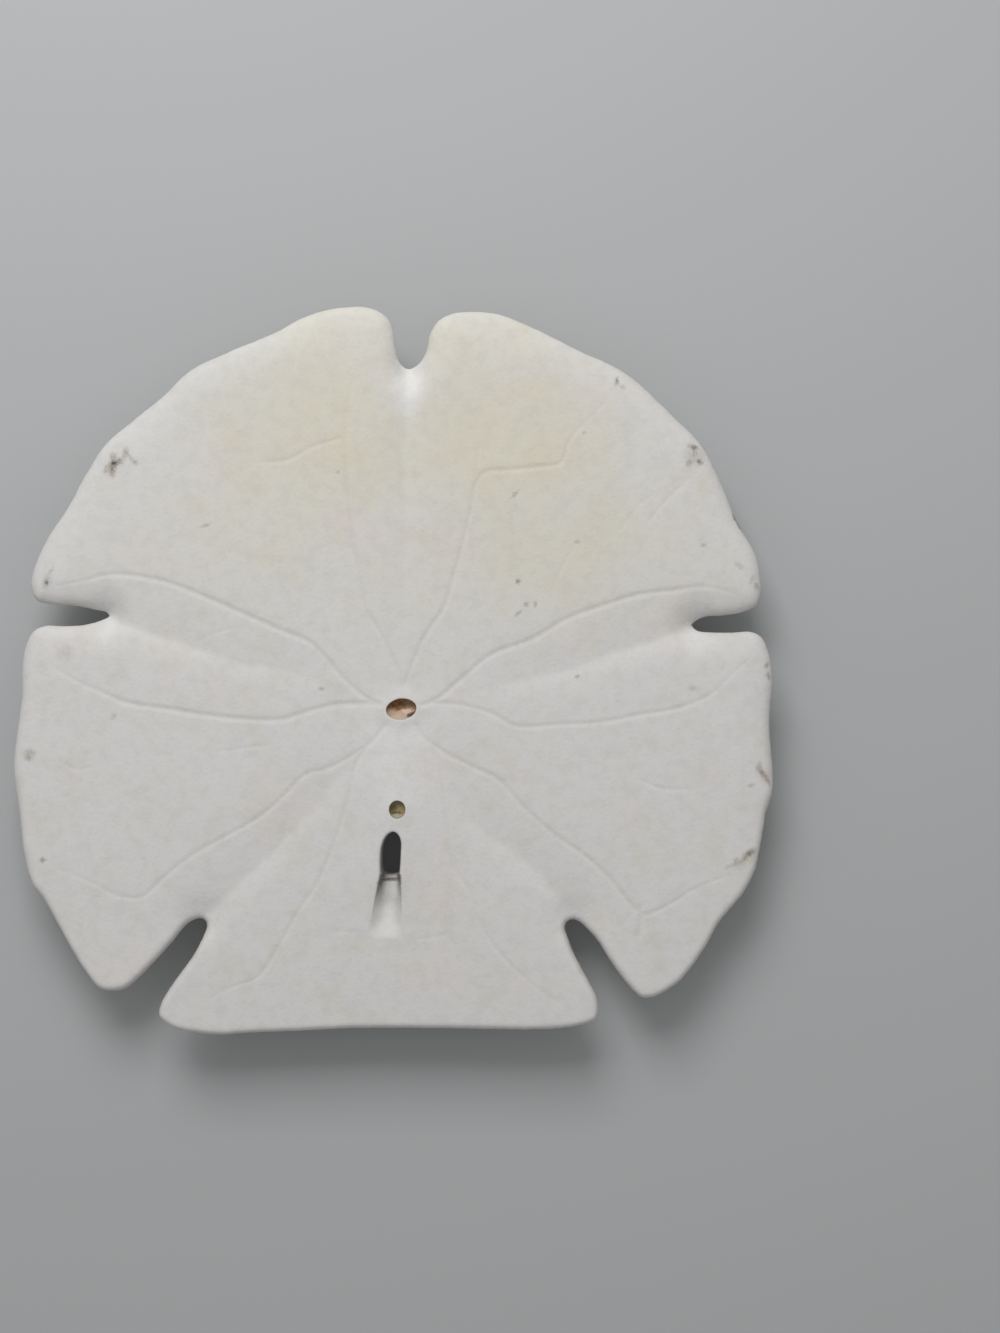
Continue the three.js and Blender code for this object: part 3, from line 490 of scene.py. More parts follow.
def bell(distance, width):
    return np.exp(-((distance / width) ** 2))


def ramp(value, low, high):
    """Smooth step from 0 at low to 1 at high."""
    t = np.clip((value - low) / (high - low), 0.0, 1.0)
    return t * t * (3 - 2 * t)


def unevenness(plan, size, seed):
    """Smooth random height between about -1 and 1, with bumps of about the given size."""
    return np.array([noise.noise(Vector((x / size, y / size, seed))) for x, y in plan])


class Test:
    """Heights of the two sides of the test over its plan, in millimetres."""

    # Edge and slot: spacing of their points, chips (height, size, seed) and reach of the rounding
    edge_step = 0.5
    slot_step = 0.35
    chips = ((0.05, 2.6, 5), (0.03, 0.9, 0))
    front_rim_reach = 1.7
    rear_rim_reach = 1.0
    slot_rim_reach = 0.35
    # Mouth side: dish round the mouth, shoulder that fades to the rear, furrows and keel
    dish_depth, dish_radius = 0.35, 26.0
    shoulder_reach = 5.4
    shoulder_rear, shoulder_front = -52, 8
    furrow_depth = 0.82
    furrow_ease = 0.8
    furrow_flank = 1.4
    furrow_start_width = 0.75
    keel_front, keel_rear = np.array((1.0, -12.0)), np.array((-0.5, -30.0))
    keel_height, keel_half_width = 0.55, 6.5
    lip_reach = 1.1
    upper_bumps = ((0.07, 11.0, 0), (0.035, 3.6, 20), (0.012, 1.3, 40))
    # Ramp behind the slot: middle and half width in front and behind, and the powers of its rise
    ramp_middle = (-0.45, -1.3)
    ramp_half_width = (1.6, 2.95)
    ramp_front = -32.4
    ramp_length = 9.6
    ramp_depth = 3.3
    ramp_foot = 0.2
    ramp_rise = (1.9, 1.15)
    # Its walls: powers of the left and right one in front and behind, and where they grow soft
    left_wall, right_wall = (3.4, 2.0), (5, 2.4)
    wall_softening = (0.2, 0.7)
    wall_softness = 0.6
    # Ledge at its front: depth and end of the step, with a fine groove at the step's foot
    ledge_step = 1.1
    ledge_step_end = 1.15
    ledge_step_slope = 0.2
    ledge_groove_depth, ledge_groove_half_width = 0.4, 0.14
    # Back: petals, and unevenness that begins outside the worn crown
    crown = np.array((0.0, -2.4))
    petal_start = 8.4
    petal_half_width = 4.6
    petal_ends = (0.06, 0.92)
    petal_fullness = 0.8
    pore_row_step = 0.12
    smooth_crown = (7.0, 12.0)
    lower_bumps = ((0.06, 9.0, 60), (0.012, 1.4, 80))

    def __init__(self, shape):
        self.thickness = shape.full_thickness / MM
        self.rim_thickness = shape.rim_thickness / MM
        self.dome_reach = shape.dome_reach / MM
        self.rest_flat = shape.rest_flat / MM
        self.shoulder_depth = shape.shoulder_depth / MM
        self.seed = float(shape.wobble_seed)
        edge = smooth_line(OUTLINE, self.edge_step, closed=True)
        chips = sum(height * unevenness(edge, size, self.seed + shift) for height, size, shift in self.chips)
        self.edge = beside(edge, chips[:, None], closed=True)
        self.slot = smooth_line(SLOT, self.slot_step, closed=True)
        self.rim = Nearest([self.edge], closed=True)
        self.slot_rim = Nearest([self.slot], closed=True)
        self.furrows = [Nearest([smooth_line(ray[0], LINE_STEP)]) for ray in RAYS]
        self.rows = [row for line, *_, length in RAYS for row in self.pore_rows(line[-1], length)]

    def pore_rows(self, tip, length):
        """The two pore rows of one petal, as lines on the back."""
        axis = np.array(tip) - self.crown
        axis /= np.linalg.norm(axis)
        side = np.array((-axis[1], axis[0]))
        t = np.linspace(0, 1, round(length / self.pore_row_step) + 1)[:, None]
        start, end = self.petal_ends
        bulge = np.sin(math.pi * (start + (end - start) * t)) ** self.petal_fullness
        spread = self.petal_half_width * bulge
        middle = self.crown + axis * (self.petal_start + length * t)
        return [middle + hand * spread * side for hand in (-1, 1)]

    def forward(self, plan):
        """0 at the rear, where the shoulder ends, and 1 from the middle to the front."""
        return ramp(plan[:, 1], self.shoulder_rear, self.shoulder_front)

    def upper(self, plan):
        """Mouth side, before the rim is rounded and the grooves are cut."""
        from_mouth = np.linalg.norm(plan - MOUTH.centre, axis=1)
        z = self.thickness - self.dish_depth * bell(from_mouth, self.dish_radius)
        shoulder = np.clip(1 - self.rim.distance(plan) / self.shoulder_reach, 0, 1)
        z -= self.shoulder_depth * self.forward(plan) * shoulder ** 2
        for (line, left, right, scoop, radius, _), furrow in zip(RAYS, self.furrows):
            gap, sample = furrow.find(plan)
            share = furrow.shares[sample]
            widening = self.furrow_start_width + (1 - self.furrow_start_width) * share
            reach = np.where(furrow.is_left(plan, sample), left, right) * widening
            flank = np.exp(-np.abs(gap / reach) ** self.furrow_flank)
            z -= self.furrow_depth * share ** self.furrow_ease * flank
            z -= scoop * bell(np.linalg.norm(plan - line[-1], axis=1), radius)
        keel = self.keel_rear - self.keel_front
        along = np.clip((plan[:, 1] - self.keel_front[1]) / keel[1], 0, 1)
        from_keel = np.linalg.norm(plan - (self.keel_front + along[:, None] * keel), axis=1)
        z += self.keel_height * bell(from_keel, self.keel_half_width)
        for pit in (MOUTH, ANUS):
            beyond = np.maximum(pit.reach(plan) - 1, 0) * pit.half[1] / self.lip_reach
            z += pit.lip * np.exp(-beyond * beyond)
        for height, size, shift in self.upper_bumps:
            z += height * unevenness(plan, size, self.seed + shift)
        return z - self.ramp_fall(plan)

    def on_ramp(self, along, across):
        """Plan points on the ramp: 0 to 1 along it, and -1 to 1 across it."""
        x = np.interp(along, (0, 1), self.ramp_middle)
        half_width = np.interp(along, (0, 1), self.ramp_half_width)
        return np.column_stack((x + across * half_width, self.ramp_front - along * self.ramp_length))

    def behind_slot(self, plan):
        """Distance behind the slot and its share of the ramp, then the place across the ramp: the
        offset from its middle, and the same without its sign as a share of the half width."""
        behind = self.ramp_front - plan[:, 1]
        along = behind / self.ramp_length
        middle, side = (self.on_ramp(np.clip(along, 0, 1), across)[:, 0] for across in (0, 1))
        offset = plan[:, 0] - middle
        return behind, along, offset, np.abs(offset) / (side - middle)

    def ramp_fall(self, plan):
        """Depth of the ramp behind the slot: a step, a ledge, and then a rise to the surface."""
        behind, along, offset, across = self.behind_slot(plan)
        along = np.clip(along, 0, 1)
        foot = np.clip(1 + behind / self.ramp_foot, 0, 1)
        curve, ease = self.ramp_rise
        fall = np.where(behind < 0, foot, (1 - along ** curve) ** ease)
        step_start = self.ledge_step_end - self.ledge_step_slope
        step = self.ledge_step * (1 - ramp(behind, step_start, self.ledge_step_end))
        groove = self.ledge_groove_depth * bell(behind - step_start, self.ledge_groove_half_width)
        softer = ramp(along, *self.wall_softening)
        left, right = (front + (rear - front) * softer for front, rear in (self.left_wall, self.right_wall))
        wall = np.clip(1 - across ** np.where(offset < 0, left, right), 0, 1)
        return (self.ramp_depth * fall + (step + groove) * foot) * wall ** (1 + self.wall_softness * softer)

    def ledge_shade_and_dirt(self, plan):
        """Share of painted shade, with some dirt, on the slot's wall, and on the walls and the front step of
        the ledge behind.
        """
        behind, along, offset, across = self.behind_slot(plan)
        # Painted shade, with some dirt, on the walls, less on the right one behind the step
        walls = 0.15 + 0.85 * ramp(across, 0.35, 0.85)
        walls *= (1 - ramp(across, 0.98, 1.12)) * (1 - ramp(along, 0.1, 0.48))
        walls *= np.where(offset > 0, 1 - 0.45 * ramp(behind, 0.8, 1.6), 1)
        # A faint shade across the middle of the ramp
        floor = (0.07 + 0.22 * bell(along - 0.42, 0.12)) * (1 - ramp(across, 0.5, 1))
        floor *= 1 - ramp(along, 0.6, 0.9)
        # Painted shade on the step, and a dark line of painted shade in the crease at its foot
        on_ledge = across < 1.05
        step = 1 - ramp(behind, self.ledge_step_end - 0.15, self.ledge_step_end + 0.1)
        step *= (0.35 + 0.65 * ramp(across, 0.4, 0.75)) * on_ledge
        line = bell(behind - self.ledge_step_end + 0.15, 0.13) * on_ledge
        ledge = np.maximum.reduce((walls, floor, step, line)) * (behind > -0.3)
        # Painted shade on the rounded wall of the slot
        slot = ramp(1 - self.slot_rim.distance(plan) / self.slot_rim_reach, 0.1, 0.6)
        return np.maximum(ledge, 0.8 * slot * (behind < 0.2))

    def lower(self, plan):
        """Domed back, before the rim is rounded and the pores are cut. It is flat where it rests."""
        t = np.minimum(1, np.linalg.norm(plan - self.crown, axis=1) / self.dome_reach)
        rise = (self.thickness - self.rim_thickness + self.rest_flat) * (2 * t * t - t ** 4)
        z = np.maximum(0, rise - self.rest_flat)
        away = ramp(t * self.dome_reach, *self.smooth_crown)
        for height, size, shift in self.lower_bumps:
            z += away * height * (1 + unevenness(plan, size, self.seed + shift))
        return z

    def rim_share(self, plan):
        """Share of the way from the open surface to the middle of the rim."""
        share = np.zeros(len(plan))
        growth = self.front_rim_reach - self.rear_rim_reach
        rim_reach = self.rear_rim_reach + growth * self.forward(plan)
        for field, reach in ((self.rim, rim_reach), (self.slot_rim, self.slot_rim_reach)):
            inner = np.clip(1 - field.distance(plan) / reach, 0, 1)
            share = np.maximum(share, 1 - np.sqrt(1 - inner * inner))
        return share

    def surface(self, plan, upwards):
        """Height of one side, with its rim rounded towards the middle of the thickness."""
        above, below = self.upper(plan), self.lower(plan)
        open_height = above if upwards else below
        return open_height + ((above + below) / 2 - open_height) * self.rim_share(plan)


class PointSieve:
    """Collects plan points that lie on the test and stay clear of those already collected. It begins
    with the edge and the slot, and with rows of points along them."""

    def __init__(self, test):
        self.test = test
        self.kept = [test.edge, test.slot]
        for offset in RIM_ROWS:
            step = 1 if offset < 1 else 2
            for loop in (test.edge, test.slot):
                for hand in (-1, 1):
                    points = beside(loop, hand * offset, closed=True)[::step]
                    self.add(points, RIM_CLEARANCE, offset * ROW_TOLERANCE)

    def add(self, points, clearance, rim_clearance):
        """Adds the points that keep the clearances from the others and from the edge and slot."""
        test = self.test
        points = points[within(points, test.edge) & ~within(points, test.slot)]
        points = points[test.rim.distance(points) > rim_clearance]
        points = points[test.slot_rim.distance(points) > rim_clearance]
        tree = tree_of(np.vstack(self.kept))
        if len(points):
            clear = np.array([tree.find((x, y, 0.0))[2] > clearance for x, y in points])
            self.kept.append(points[clear])

    def add_rows(self, line, rows, clearances):
        """Adds a line's points, and rows of points on both sides of it."""
        for offset in (0.0, *(hand * row for row in rows for hand in (-1, 1))):
            self.add(beside(line, offset), *clearances)


def spread_points(step):
    """Evenly spread points in rows, each row shifted by half a step, with a little wobble."""
    rise = step * math.sqrt(3) / 2
    count = math.ceil(FIELD_REACH / rise)
    row, column = np.meshgrid(np.arange(-count, count + 1), np.arange(-count, count + 1))
    wobble = 0.07 * step * np.sin(5.1 * row + 3.7 * column)
    x = (column + 0.5 * (row % 2)) * step + wobble
    y = row * rise + wobble
    return np.column_stack((x.ravel(), y.ravel()))


def triangulate(test, plan):
    """Delaunay triangles of the test's plan, with the rims of edge and slot kept."""
    rims = []
    start = 0
    for loop in (test.edge, test.slot):
        count = len(loop)
        rims += [(start + i, start + (i + 1) % count) for i in range(count)]
        start += count
    points, _, triangles, origins, _, _ = delaunay_2d_cdt(
        [Vector(p) for p in plan], rims, [], 0, 1e-7, True)
    if len(points) != len(plan):
        raise RuntimeError("two mesh points of the test fell together")
    order = np.array([origin[0] for origin in origins])
    corners = order[np.array(triangles)]
    middles = plan[corners].mean(axis=1)
    return corners[within(middles, test.edge) & ~within(middles, test.slot)]


def finish_pits(plan, height):
    """Moves the mesh points of the mouth and anus to their profiles, and gives each its lining's share."""
    plan = plan.copy()
    height = height.copy()
    lining = np.zeros(len(plan))
    for pit in (MOUTH, ANUS):
        reach = pit.reach(plan)
        inside = (reach < 1) & (reach > 1e-6)
        share, wide, deep = pit.profile.T
        scale = np.interp(reach[inside], share, wide) / reach[inside]
        depth = np.where(reach < 1, np.interp(reach, share, deep), 0)
        lining += ramp(depth, 0.1, 0.45)
        if pit is MOUTH:
            # The dried tissue stands on the deep part of the floor, beside a gap that is deeper still
            local = turned(plan - pit.centre, -pit.tilt) / pit.half
            for middle, half, turn, rise in MOUTH_TISSUE:
                depth -= rise * bell(in_oval(local, middle, half, turn), 0.85) * (depth > 0.9)
            middle, half, turn, fall = MOUTH_GAP
            depth += fall * bell(in_oval(local, middle, half, turn), 0.8) * ramp(depth, 0.3, 0.9)
        height -= depth
        plan[inside] = pit.centre + (plan[inside] - pit.centre) * scale[:, None]
        height[inside] += 0.2 * unevenness(plan[inside], 0.5, 3.0) * ramp(depth[inside], 0.3, 1.2)
    return plan, height, lining


def upper_points(test, step):
    """Mesh points of the mouth side."""
    sieve = PointSieve(test)
    for pit in (MOUTH, ANUS):
        for share in PIT_ROWS:
            corners = 1 if share == 0 else 24 if share < 0.5 else 44
            sieve.add(pit.ring(share, corners), *CLEARANCE["pit"])
    for behind in LEDGE_ROWS:
        across = np.linspace(-0.95, 0.95, 15)
        along = np.full(len(across), behind / test.ramp_length)
        sieve.add(test.on_ramp(along, across), *CLEARANCE["ramp"])
    along = np.linspace(0, 1.05, 36)
    for across in RAMP_ROWS:
        for hand in (-1, 1):
            sieve.add(test.on_ramp(along, hand * across), *CLEARANCE["ramp"])
    trough = spread_points(FINE_STEP)
    from_middle = np.abs(trough - test.on_ramp(np.array((0.5,)), 0)[0])
    sieve.add(trough[(from_middle < (3.6, 5.6)).all(axis=1)], *CLEARANCE["trough"])
    for _, line in FOOD_GROOVES:
        sieve.add_rows(smooth_line(line, GROOVE_STEP), GROOVE_ROWS, CLEARANCE["groove"])
    for line, *_ in RAYS:
        sieve.add_rows(smooth_line(line, LINE_STEP), FURROW_ROWS, CLEARANCE["furrow"])
    sieve.add(spread_points(step), step * 0.56, RIM_ROWS[-1] + 0.2)
    return np.vstack(sieve.kept)


def lower_points(test, step):
    """Mesh points of the back."""
    sieve = PointSieve(test)
    for row in test.rows:
        sieve.add_rows(row, PORE_ROWS, CLEARANCE["pore"])
    star = spread_points(FINE_STEP)
    sieve.add(star[np.linalg.norm(star, axis=1) < STAR_RADIUS] + test.crown, *CLEARANCE["star"])
    sieve.add(spread_points(step * 1.1), step * 0.6, RIM_ROWS[-1] + 0.2)
    return np.vstack(sieve.kept)


def sheet(test, plan, upwards):
    """Points, triangles, lining and painted shade with dirt of one side, over the given plan points."""
    corners = triangulate(test, plan)
    height = test.surface(plan, upwards)
    lining, shade_and_dirt = np.zeros((2, len(plan)))
    if upwards:
        plan, height, lining = finish_pits(plan, height)
        shade_and_dirt = test.ledge_shade_and_dirt(plan)
    a, b, c = (plan[corners[:, k]] for k in range(3))
    turn = (b[:, 0] - a[:, 0]) * (c[:, 1] - a[:, 1]) - (b[:, 1] - a[:, 1]) * (c[:, 0] - a[:, 0])
    flip = (turn > 0) != upwards
    corners[flip] = corners[flip][:, ::-1]
    return np.column_stack((plan, height, lining, shade_and_dirt)), corners


def skin_mesh(test, step):
    """The closed skin of the test as one mesh, with plain surfaces where lines are to be cut."""
    upper, upper_faces = sheet(test, upper_points(test, step), True)
    lower, lower_faces = sheet(test, lower_points(test, step), False)
    # Both sides begin with the same rim points, and the lower side takes over those of the upper
    rim_count = len(test.edge) + len(test.slot)
    shared = lower_faces < rim_count
    triangles = np.vstack((upper_faces, np.where(shared, lower_faces, lower_faces + len(upper))))
    used, renumbered = np.unique(triangles, return_inverse=True)
    table = np.vstack((upper, lower))[used]
    points = table[:, :3] * MM
    middle = (points.min(axis=0) + points.max(axis=0)) / 2
    points[:, :2] += (np.array((cad_low + cad_high) / 2) - middle)[:2]
    mesh = bpy.data.meshes.new(NODE + "_skin")
    mesh.from_pydata(points.tolist(), [], renumbered.reshape(triangles.shape).tolist())
    # The second share is painted shade, with some dirt, in the ledge behind the slot
    for name, shares in (("lining", table[:, 3]), ("shade_and_dirt", table[:, 4])):
        mesh.attributes.new(name, "FLOAT", "POINT").data.foreach_set("value", shares.astype(np.float32))
    mesh.shade_smooth()
    return mesh


def linked(name, data):
    """A new object in the scene."""
    obj = bpy.data.objects.new(name, data)
    bpy.context.scene.collection.objects.link(obj)
    return obj


def line_object(name, lines, height, strengths):
    """An unshown object of plain edges that lie on a surface, for the carving to follow."""
    points, edges, weights = [], [], []
    for line, strength in zip(lines, strengths):
        first = len(points)
        share = np.linspace(0, 1, len(line))
        # A line grows faint over its last quarter, and varies by up to a third along its way
        fade = (1.12 - 0.75 * ramp(share, 0.72, 1.0)) * (1 + 0.3 * unevenness(line, 4.0, 11.0))
        points += [(x * MM, y * MM, z * MM) for (x, y), z in zip(line, height(line))]
        edges += [(first + i, first + i + 1) for i in range(len(line) - 1)]
        weights += (strength * fade).tolist()
    mesh = bpy.data.meshes.new(name)
    mesh.from_pydata(points, edges, [])
    mesh.attributes.new("strength", "FLOAT", "POINT").data.foreach_set("value", weights)
    return linked(name, mesh)


class Tree:
    """A node tree that is built by naming each node's kind, settings and inputs."""

    def __init__(self, tree):
        self.tree = tree

    def add(self, kind, inputs=(), **settings):
        node = self.tree.nodes.new(kind)
        for key, value in settings.items():
            setattr(node, key, value)
        for name, value in dict(inputs).items():
            socket = node.inputs[name]
            if isinstance(value, bpy.types.NodeSocket):
                self.tree.links.new(value, socket)
            else:
                socket.default_value = value
        return node

    def maths(self, operation, *values):
        return self.add("ShaderNodeMath", dict(enumerate(values)), operation=operation).outputs[0]

    def graded(self, value, low, high, start=0.0, end=1.0):
        """A smooth step from start to end, as the value goes from low to high."""
        return self.add("ShaderNodeMapRange", {
            "Value": value, "From Min": low, "From Max": high, "To Min": start, "To Max": end},
            interpolation_type="SMOOTHSTEP").outputs[0]

    def show(self, inputs):
        """Ends a material with a surface that has the given inputs."""
        surface = self.add("ShaderNodeBsdfPrincipled", inputs)
        self.add("ShaderNodeOutputMaterial", {"Surface": surface.outputs[0]})

    def lines(self, source, name):
        """The lines of the object that is given as an input."""
        return self.add("GeometryNodeObjectInfo", {"Object": source.outputs[name]},
                        transform_space="RELATIVE").outputs["Geometry"]


def carving_tree(name, **sockets):
    """A tree with a surface, a depth, a material and further inputs, each named with its kind."""
    tree = bpy.data.node_groups.new(name, "GeometryNodeTree")
    inputs = {"Surface": "Geometry", **sockets, "Depth": "Float", "Material": "Material"}
    for label, kind in inputs.items():
        tree.interface.new_socket(label.replace("_", " "), in_out="INPUT", socket_type="NodeSocket" + kind)
    tree.interface.new_socket("Surface", in_out="OUTPUT", socket_type="NodeSocketGeometry")
    build = Tree(tree)
    return build, build.add("NodeGroupInput")


def close_carving(build, source, cut):
    """Lowers the surface by the cut, notes how much of it was cut, and ends the tree."""
    normal = build.add("GeometryNodeInputNormal").outputs["Normal"]
    drop = build.maths("MULTIPLY", cut, build.maths("MULTIPLY", source.outputs["Depth"], -1.0))
    offset = build.add("ShaderNodeVectorMath", {0: normal, "Scale": drop}, operation="SCALE")
    moved = build.add("GeometryNodeSetPosition", {
        "Geometry": source.outputs["Surface"], "Offset": offset.outputs[0]})
    marked = build.add("GeometryNodeStoreNamedAttribute", {
        "Geometry": moved.outputs[0], "Name": "carved", "Value": cut}, data_type="FLOAT", domain="POINT")
    real = build.add("GeometryNodeRealizeInstances", {"Geometry": marked.outputs[0]})
    done = build.add("GeometryNodeSetMaterial", {
        "Geometry": real.outputs[0], "Material": source.outputs["Material"]})
    build.add("NodeGroupOutput", {"Surface": done.outputs[0]})
    return build.tree


def groove_tree():
    """Cuts round-bottomed grooves along the edges of another object, as deep as their strength says."""
    build, source = carving_tree("Food Grooves", Lines="Object", Half_Width="Float")
    lines = build.lines(source, "Lines")
    near = build.add("GeometryNodeProximity", {0: lines}, target_element="EDGES")
    strength = build.add("GeometryNodeInputNamedAttribute", {"Name": "strength"}, data_type="FLOAT")
    index = build.add("GeometryNodeSampleNearest", {"Geometry": lines}, domain="POINT")
    local = build.add("GeometryNodeSampleIndex", {
        "Geometry": lines, "Value": strength.outputs[0], "Index": index.outputs[0]},
        data_type="FLOAT", domain="POINT").outputs[0]
    # The faintest groove is 0.6 times as wide as one of strength 1
    reach = build.maths("MULTIPLY", source.outputs["Half Width"],
                        build.maths("MULTIPLY_ADD", local, 0.4, 0.6))
    profile = build.graded(near.outputs["Distance"], 0.0, reach, 1.0, 0.0)
    return close_carving(build, source, build.maths("MULTIPLY", profile, local))


def pore_tree():
    """Cuts a ladder of slits across the rows of another object, each with a pore at both ends."""
    build, source = carving_tree("Petal Pores", Rows="Object", Pitch="Float", Length="Float",
                                 Half_Width="Float", Pore_Radius="Float")
    curves = build.add("GeometryNodeMeshToCurve", {"Mesh": build.lines(source, "Rows")}).outputs[0]
    spaced = build.add("GeometryNodeResampleCurve", {
        "Curve": curves, "Length": source.outputs["Pitch"]}, mode="LENGTH").outputs[0]
    half = build.maths("MULTIPLY", source.outputs["Length"], 0.5)
    start = build.add("ShaderNodeCombineXYZ", {"X": build.maths("MULTIPLY", half, -1.0)})
    end = build.add("ShaderNodeCombineXYZ", {"X": half})
    slit = build.add("GeometryNodeMeshLine", {
        "Count": 2, "Start Location": start.outputs[0], "Offset": end.outputs[0]}, mode="END_POINTS")
    tangent = build.add("GeometryNodeInputTangent").outputs[0]
    turn = build.add("FunctionNodeAlignRotationToVector", {"Vector": tangent}, axis="Y", pivot_axis="Z")
    placed = build.add("GeometryNodeInstanceOnPoints", {
        "Points": spaced, "Instance": slit.outputs[0], "Rotation": turn.outputs[0]})
    slits = build.add("GeometryNodeRealizeInstances", {"Geometry": placed.outputs[0]}).outputs[0]
    cuts = []
    for target, reach, depth in (("EDGES", "Half Width", 0.75), ("POINTS", "Pore Radius", 1.6)):
        near = build.add("GeometryNodeProximity", {0: slits}, target_element=target)
        cuts.append(build.graded(near.outputs["Distance"], 0.0, source.outputs[reach], depth, 0.0))
    return close_carving(build, source, build.maths("MAXIMUM", *cuts))


def apply_tree(obj, tree, values):
    """Runs a tree on an object with the given inputs, and gives it the plain mesh that comes out.
    Returns how much was carved at each point."""
    modifier = obj.modifiers.new(tree.name, "NODES")
    modifier.node_group = tree
    identifiers = {item.name: item.identifier for item in tree.interface.items_tree
                   if item.in_out == "INPUT"}
    for name, value in values.items():
        modifier[identifiers[name]] = value
    shown = obj.evaluated_get(bpy.context.evaluated_depsgraph_get())
    mesh = bpy.data.meshes.new_from_object(shown)
    obj.modifiers.remove(modifier)
    obj.data = mesh
    carved = np.zeros(len(mesh.vertices), np.float32)
    mesh.attributes["carved"].data.foreach_get("value", carved)
    return carved


def blank_material(name):
    """A material without nodes, and the tree to build them in."""
    material = bpy.data.materials.new(name)
    material.use_nodes = True
    material.node_tree.nodes.clear()
    return material, Tree(material.node_tree)


def skin_material(finish, test):
    """Dry bleached skin with a creamy front, patches of painted light, stains, painted shade in the grooves
    and the ledge, and brown pits with painted light and shade.
    """
    material, build = blank_material("bleached_test")
    graded = build.graded
    place = build.add("ShaderNodeTexCoord").outputs["Object"]

    def mix(share, *colours):
        first, second = (c if isinstance(c, bpy.types.NodeSocket) else (*c, 1.0) for c in colours)
        return build.add("ShaderNodeMix", {0: share, 6: first, 7: second}, data_type="RGBA").outputs[2]

    def cloud(size, detail=3.0):
        return build.add("ShaderNodeTexNoise", {
            "Vector": place, "Scale": 1 / (size * MM), "Detail": detail}).outputs["Fac"]

    def attribute(name):
        return build.add("ShaderNodeAttribute", attribute_name=name).outputs["Fac"]

    def vectors(operation, first, second):
        return build.add("ShaderNodeVectorMath", {0: first, 1: second}, operation=operation).outputs[0]

    def oval(x, y, half_length, half_width, turn=0.0, where=place, height=None):
        """0 in the middle of an oval and 1 on its edge, with places and sizes in millimetres. Without a
        height it is an upright column, and with one it is 2.4 mm high."""
        local = build.add("ShaderNodeMapping", {
            "Vector": where, "Location": (x * MM, y * MM, (height or 0.0) * MM),
            "Rotation": (0.0, 0.0, turn),
            "Scale": (half_length * MM, half_width * MM, 1.0 if height is None else 1.2 * MM)},
            vector_type="TEXTURE").outputs[0]
        # Flattened after the mapping, because flattening before it turns the skin black
        if height is None:
            local = vectors("MULTIPLY", local, (1.0, 1.0, 0.0))
        return build.add("ShaderNodeVectorMath", {0: local}, operation="LENGTH").outputs["Value"]

    # Creamy front, broken up by a cloud, and lighter patches of painted light
    cream = 0.0
    for *patch, strength in CREAM_PATCHES:
        cream = build.maths("MAXIMUM", cream, graded(oval(*patch), 0.15, 1.2, strength, 0.0))
    cream = build.maths("MULTIPLY", cream, graded(cloud(9.0), 0.3, 0.7, 0.6, 1.0))
    colour = mix(cream, finish.bleached, finish.cream)
    for *patch, strength in PAINTED_LIGHT_PATCHES:
        colour = mix(graded(oval(*patch), 0.3, 1.2, strength, 0.0), colour, PAINTED_LIGHT_WHITE)
    for size, detail, low, high, strength, shade in CLOUDS:
        colour = mix(graded(cloud(size, detail), low, high, 0.0, strength), colour, shade)

    # Painted shade in the food grooves and pores, and painted shade with some dirt in the ledge behind the
    # slot
    colour = mix(graded(attribute("carved"), 0.3, 1.0, 0.0, 0.07), colour, GROOVE_SHADE)
    patchy = graded(cloud(0.5), 0.3, 0.6, 0.55, 0.85)
    colour = mix(build.maths("MULTIPLY", attribute("shade_and_dirt"), patchy), colour, LEDGE_SHADE_AND_DIRT)

    # Stains where sand, algae and rust have taken hold, with edges torn by up to 0.35 mm
    ragged = build.add("ShaderNodeTexNoise", {"Vector": place, "Scale": 2600.0, "Detail": 2.0})
    nudge = vectors("MULTIPLY", vectors("SUBTRACT", ragged.outputs["Color"], (0.5,) * 3), (0.0007,) * 3)
    torn = vectors("ADD", place, nudge)
    speckle = graded(cloud(0.3, 2.0), 0.32, 0.6, 0.5, 1.0)
    heights = test.surface(np.array([stain[:2] for stain in STAINS]), True)
    for (*place_and_size, turn, strength, name), height in zip(STAINS, heights):
        reach = oval(*place_and_size, math.radians(turn), torn, height)
        mask = build.maths("MULTIPLY", graded(reach, 0.1, 1.5, strength, 0.0), speckle)
        colour = mix(mask, colour, STAIN_COLOURS[name])

    # Dried lining of the mouth, brown in front, darkened there with painted shade, and pink behind,
    # lightened there with painted light on its rear wall, with painted shade over the gap; and of the anus,
    # with painted light on its rear wall
    flesh_light_and_shade = mix(graded(cloud(0.45, 2.0), 0.35, 0.65), finish.pit, MOUTH_PINK)
    for middle, half, turn, shade, strength in MOUTH_TINTS_LIGHT_AND_SHADE:
        centre = MOUTH.centre + turned(np.array(middle) * MOUTH.half, MOUTH.tilt)
        reach = oval(*centre, *(half * MOUTH.half), turn, torn)
        flesh_light_and_shade = mix(graded(reach, 0.6, 1.25, strength, 0.0), flesh_light_and_shade, shade)
    x, y = ANUS.centre
    film_and_light = mix(graded(oval(x - 0.7, y, 0.9, 1.3), 0.2, 1.1), ANUS_LEFT, ANUS_RIGHT)
    for forward, half_width, shade, strength in ANUS_TINTS_AND_LIGHT:
        reach = oval(x, y + forward, 1.2, half_width, 0.0, torn)
        film_and_light = mix(graded(reach, 0.5, 1.2, strength, 0.0), film_and_light, shade)
    lining = attribute("lining")
    for pit, half, inner in ((MOUTH, (3.4, 2.6), flesh_light_and_shade), (ANUS, (2.0, 2.0), film_and_light)):
        near = graded(oval(*pit.centre, *half), 0.95, 1.0, 1.0, 0.0)
        colour = mix(build.maths("MULTIPLY", lining, near), colour, inner)

